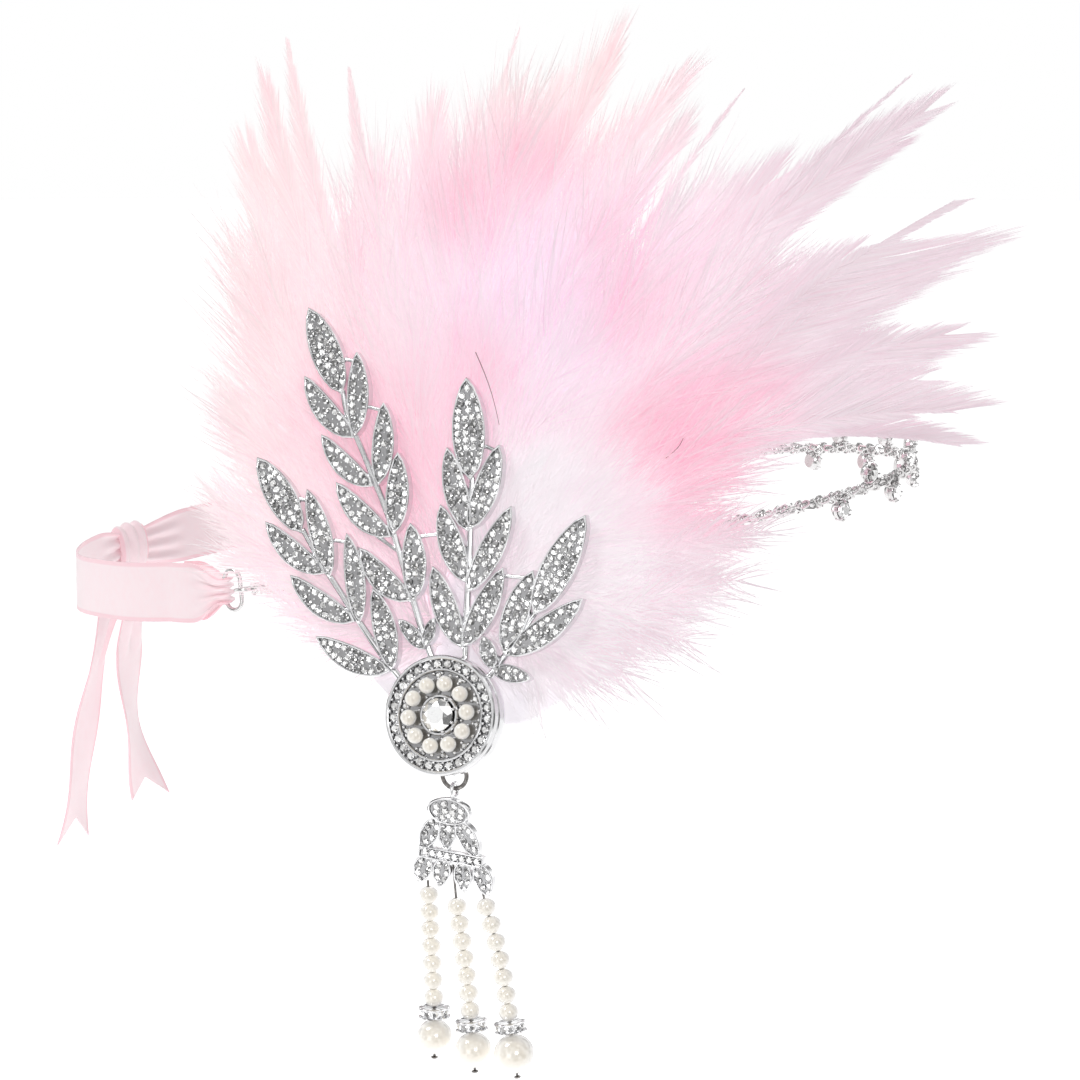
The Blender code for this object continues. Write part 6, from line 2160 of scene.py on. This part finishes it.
class HEADBAND_OT_ribbons(bpy.types.Operator):
    """Satin ribbons, their knot and its two tails"""

    bl_idname = "headband.ribbons"
    bl_label = "Satin ribbons"

    def execute(self, context):
        for name, angle, side in (("near", NEAR_RING_ANGLE, 1.0), ("far", FAR_RING_ANGLE, -1.0)):
            self.ribbon(name, angle, side)
        self.knot()
        for name, side, length, back in RIBBON_TAILS:
            self.tail(name, side, length * MM, back * MM)
        return {"FINISHED"}

    def ribbon(self, name, angle, side):
        """Ribbon from the knot to its fold round the oval ring."""
        full = 0.5 * RIBBON_WIDTH
        rows = [
            gathered(middle, half, up, normal, 29, full, 3.5)
            for middle, half, up, normal in ribbon_line(angle, side)]
        piece, length = cloth_strip(f"satin_{name}", rows, RIBBON_CLOTH)
        dressed(piece, "satin", "root", (f"ribbon_{name}",))

    def knot(self):
        """Wrap of gathered ribbon round the crossing."""
        place = band_frame(KNOT_ANGLE, KNOT_STANDOFF)
        rows = []
        steps = 44
        for index in range(steps + 1):
            turn = 2 * math.pi * index / steps
            y = (0.5 * KNOT_HEIGHT - 0.7 * MM) * math.cos(turn)
            z = (0.5 * KNOT_DEPTH - 0.7 * MM) * math.sin(turn)
            middle = Vector((0.0, y, z))
            normal = Vector((0.0, y / (0.5 * KNOT_HEIGHT) ** 2, z / (0.5 * KNOT_DEPTH) ** 2)).normalized()
            row = gathered(
                middle, 0.88 * KNOT_HALF_WIDTH, Vector((1.0, 0.0, 0.0)), normal, 29,
                0.5 * RIBBON_WIDTH, 3.0, -0.10)
            rows.append([place @ point for point in row])
        piece, length = cloth_strip("satin_knot", rows, RIBBON_CLOTH)
        dressed(piece, "satin", "root", ("ribbon_knot",))

    def tail(self, name, side, length, back):
        """Hanging tail with a swallow-tail end."""
        rows = []
        lines = tail_rows(side, length, back)
        for index, (middle, half, up, normal) in enumerate(lines):
            row = gathered(middle, half, up, normal, 25, 0.5 * RIBBON_WIDTH, 2.0)
            s = index / TAIL_STEPS
            curl = 0.9 * MM * math.sin(2.0 * math.pi * s * 1.6 + side)
            row = [point + normal * (curl * (2.0 * c / 24 - 1.0)) for c, point in enumerate(row)]
            rows.append(row)
        ending = (lines[-1][0] - lines[-2][0]).normalized()
        for offset in range(8):
            row = rows[-1 - offset]
            share = 1.0 - offset / 8
            for c in range(25):
                dent = TAIL_NOTCH * (1.0 - abs(2.0 * c / 24 - 1.0)) * share
                row[c] = row[c] - ending * dent
        piece, run = cloth_strip(f"satin_{name[-6:]}", rows, RIBBON_CLOTH)
        dressed(piece, "satin", "root", (name,))


OPERATORS = (
    HEADBAND_OT_stage, HEADBAND_OT_plume, HEADBAND_OT_pad, HEADBAND_OT_spray, HEADBAND_OT_medallion,
    HEADBAND_OT_drop, HEADBAND_OT_chains, HEADBAND_OT_ribbons)


class HEADBAND_PT_panel(bpy.types.Panel):
    """Steps that dress the headband, and its settings"""

    bl_idname = "HEADBAND_PT_panel"
    bl_label = "Feather headband"
    bl_space_type = "VIEW_3D"
    bl_region_type = "UI"
    bl_category = "Headband"

    def draw(self, context):
        column = self.layout.column()
        for operator in OPERATORS:
            column.operator(operator.bl_idname)
        for name in HeadbandSettings.__annotations__:
            column.prop(context.scene.headband, name)


def register():
    """Register the settings, operators and panel."""
    for kind in (HeadbandSettings, *OPERATORS, HEADBAND_PT_panel):
        bpy.utils.register_class(kind)
    bpy.types.Scene.headband = bpy.props.PointerProperty(type=HeadbandSettings)


def unregister():
    """Take away what register added."""
    del bpy.types.Scene.headband
    for kind in (HEADBAND_PT_panel, *reversed(OPERATORS), HeadbandSettings):
        bpy.utils.unregister_class(kind)


def main():
    """Dress the whole headband."""
    register()
    bpy.ops.headband.stage()
    bpy.ops.headband.plume()
    bpy.ops.headband.pad()
    bpy.ops.headband.spray()
    bpy.ops.headband.medallion()
    bpy.ops.headband.drop()
    bpy.ops.headband.chains()
    bpy.ops.headband.ribbons()


if __name__ == "__main__":
    main()
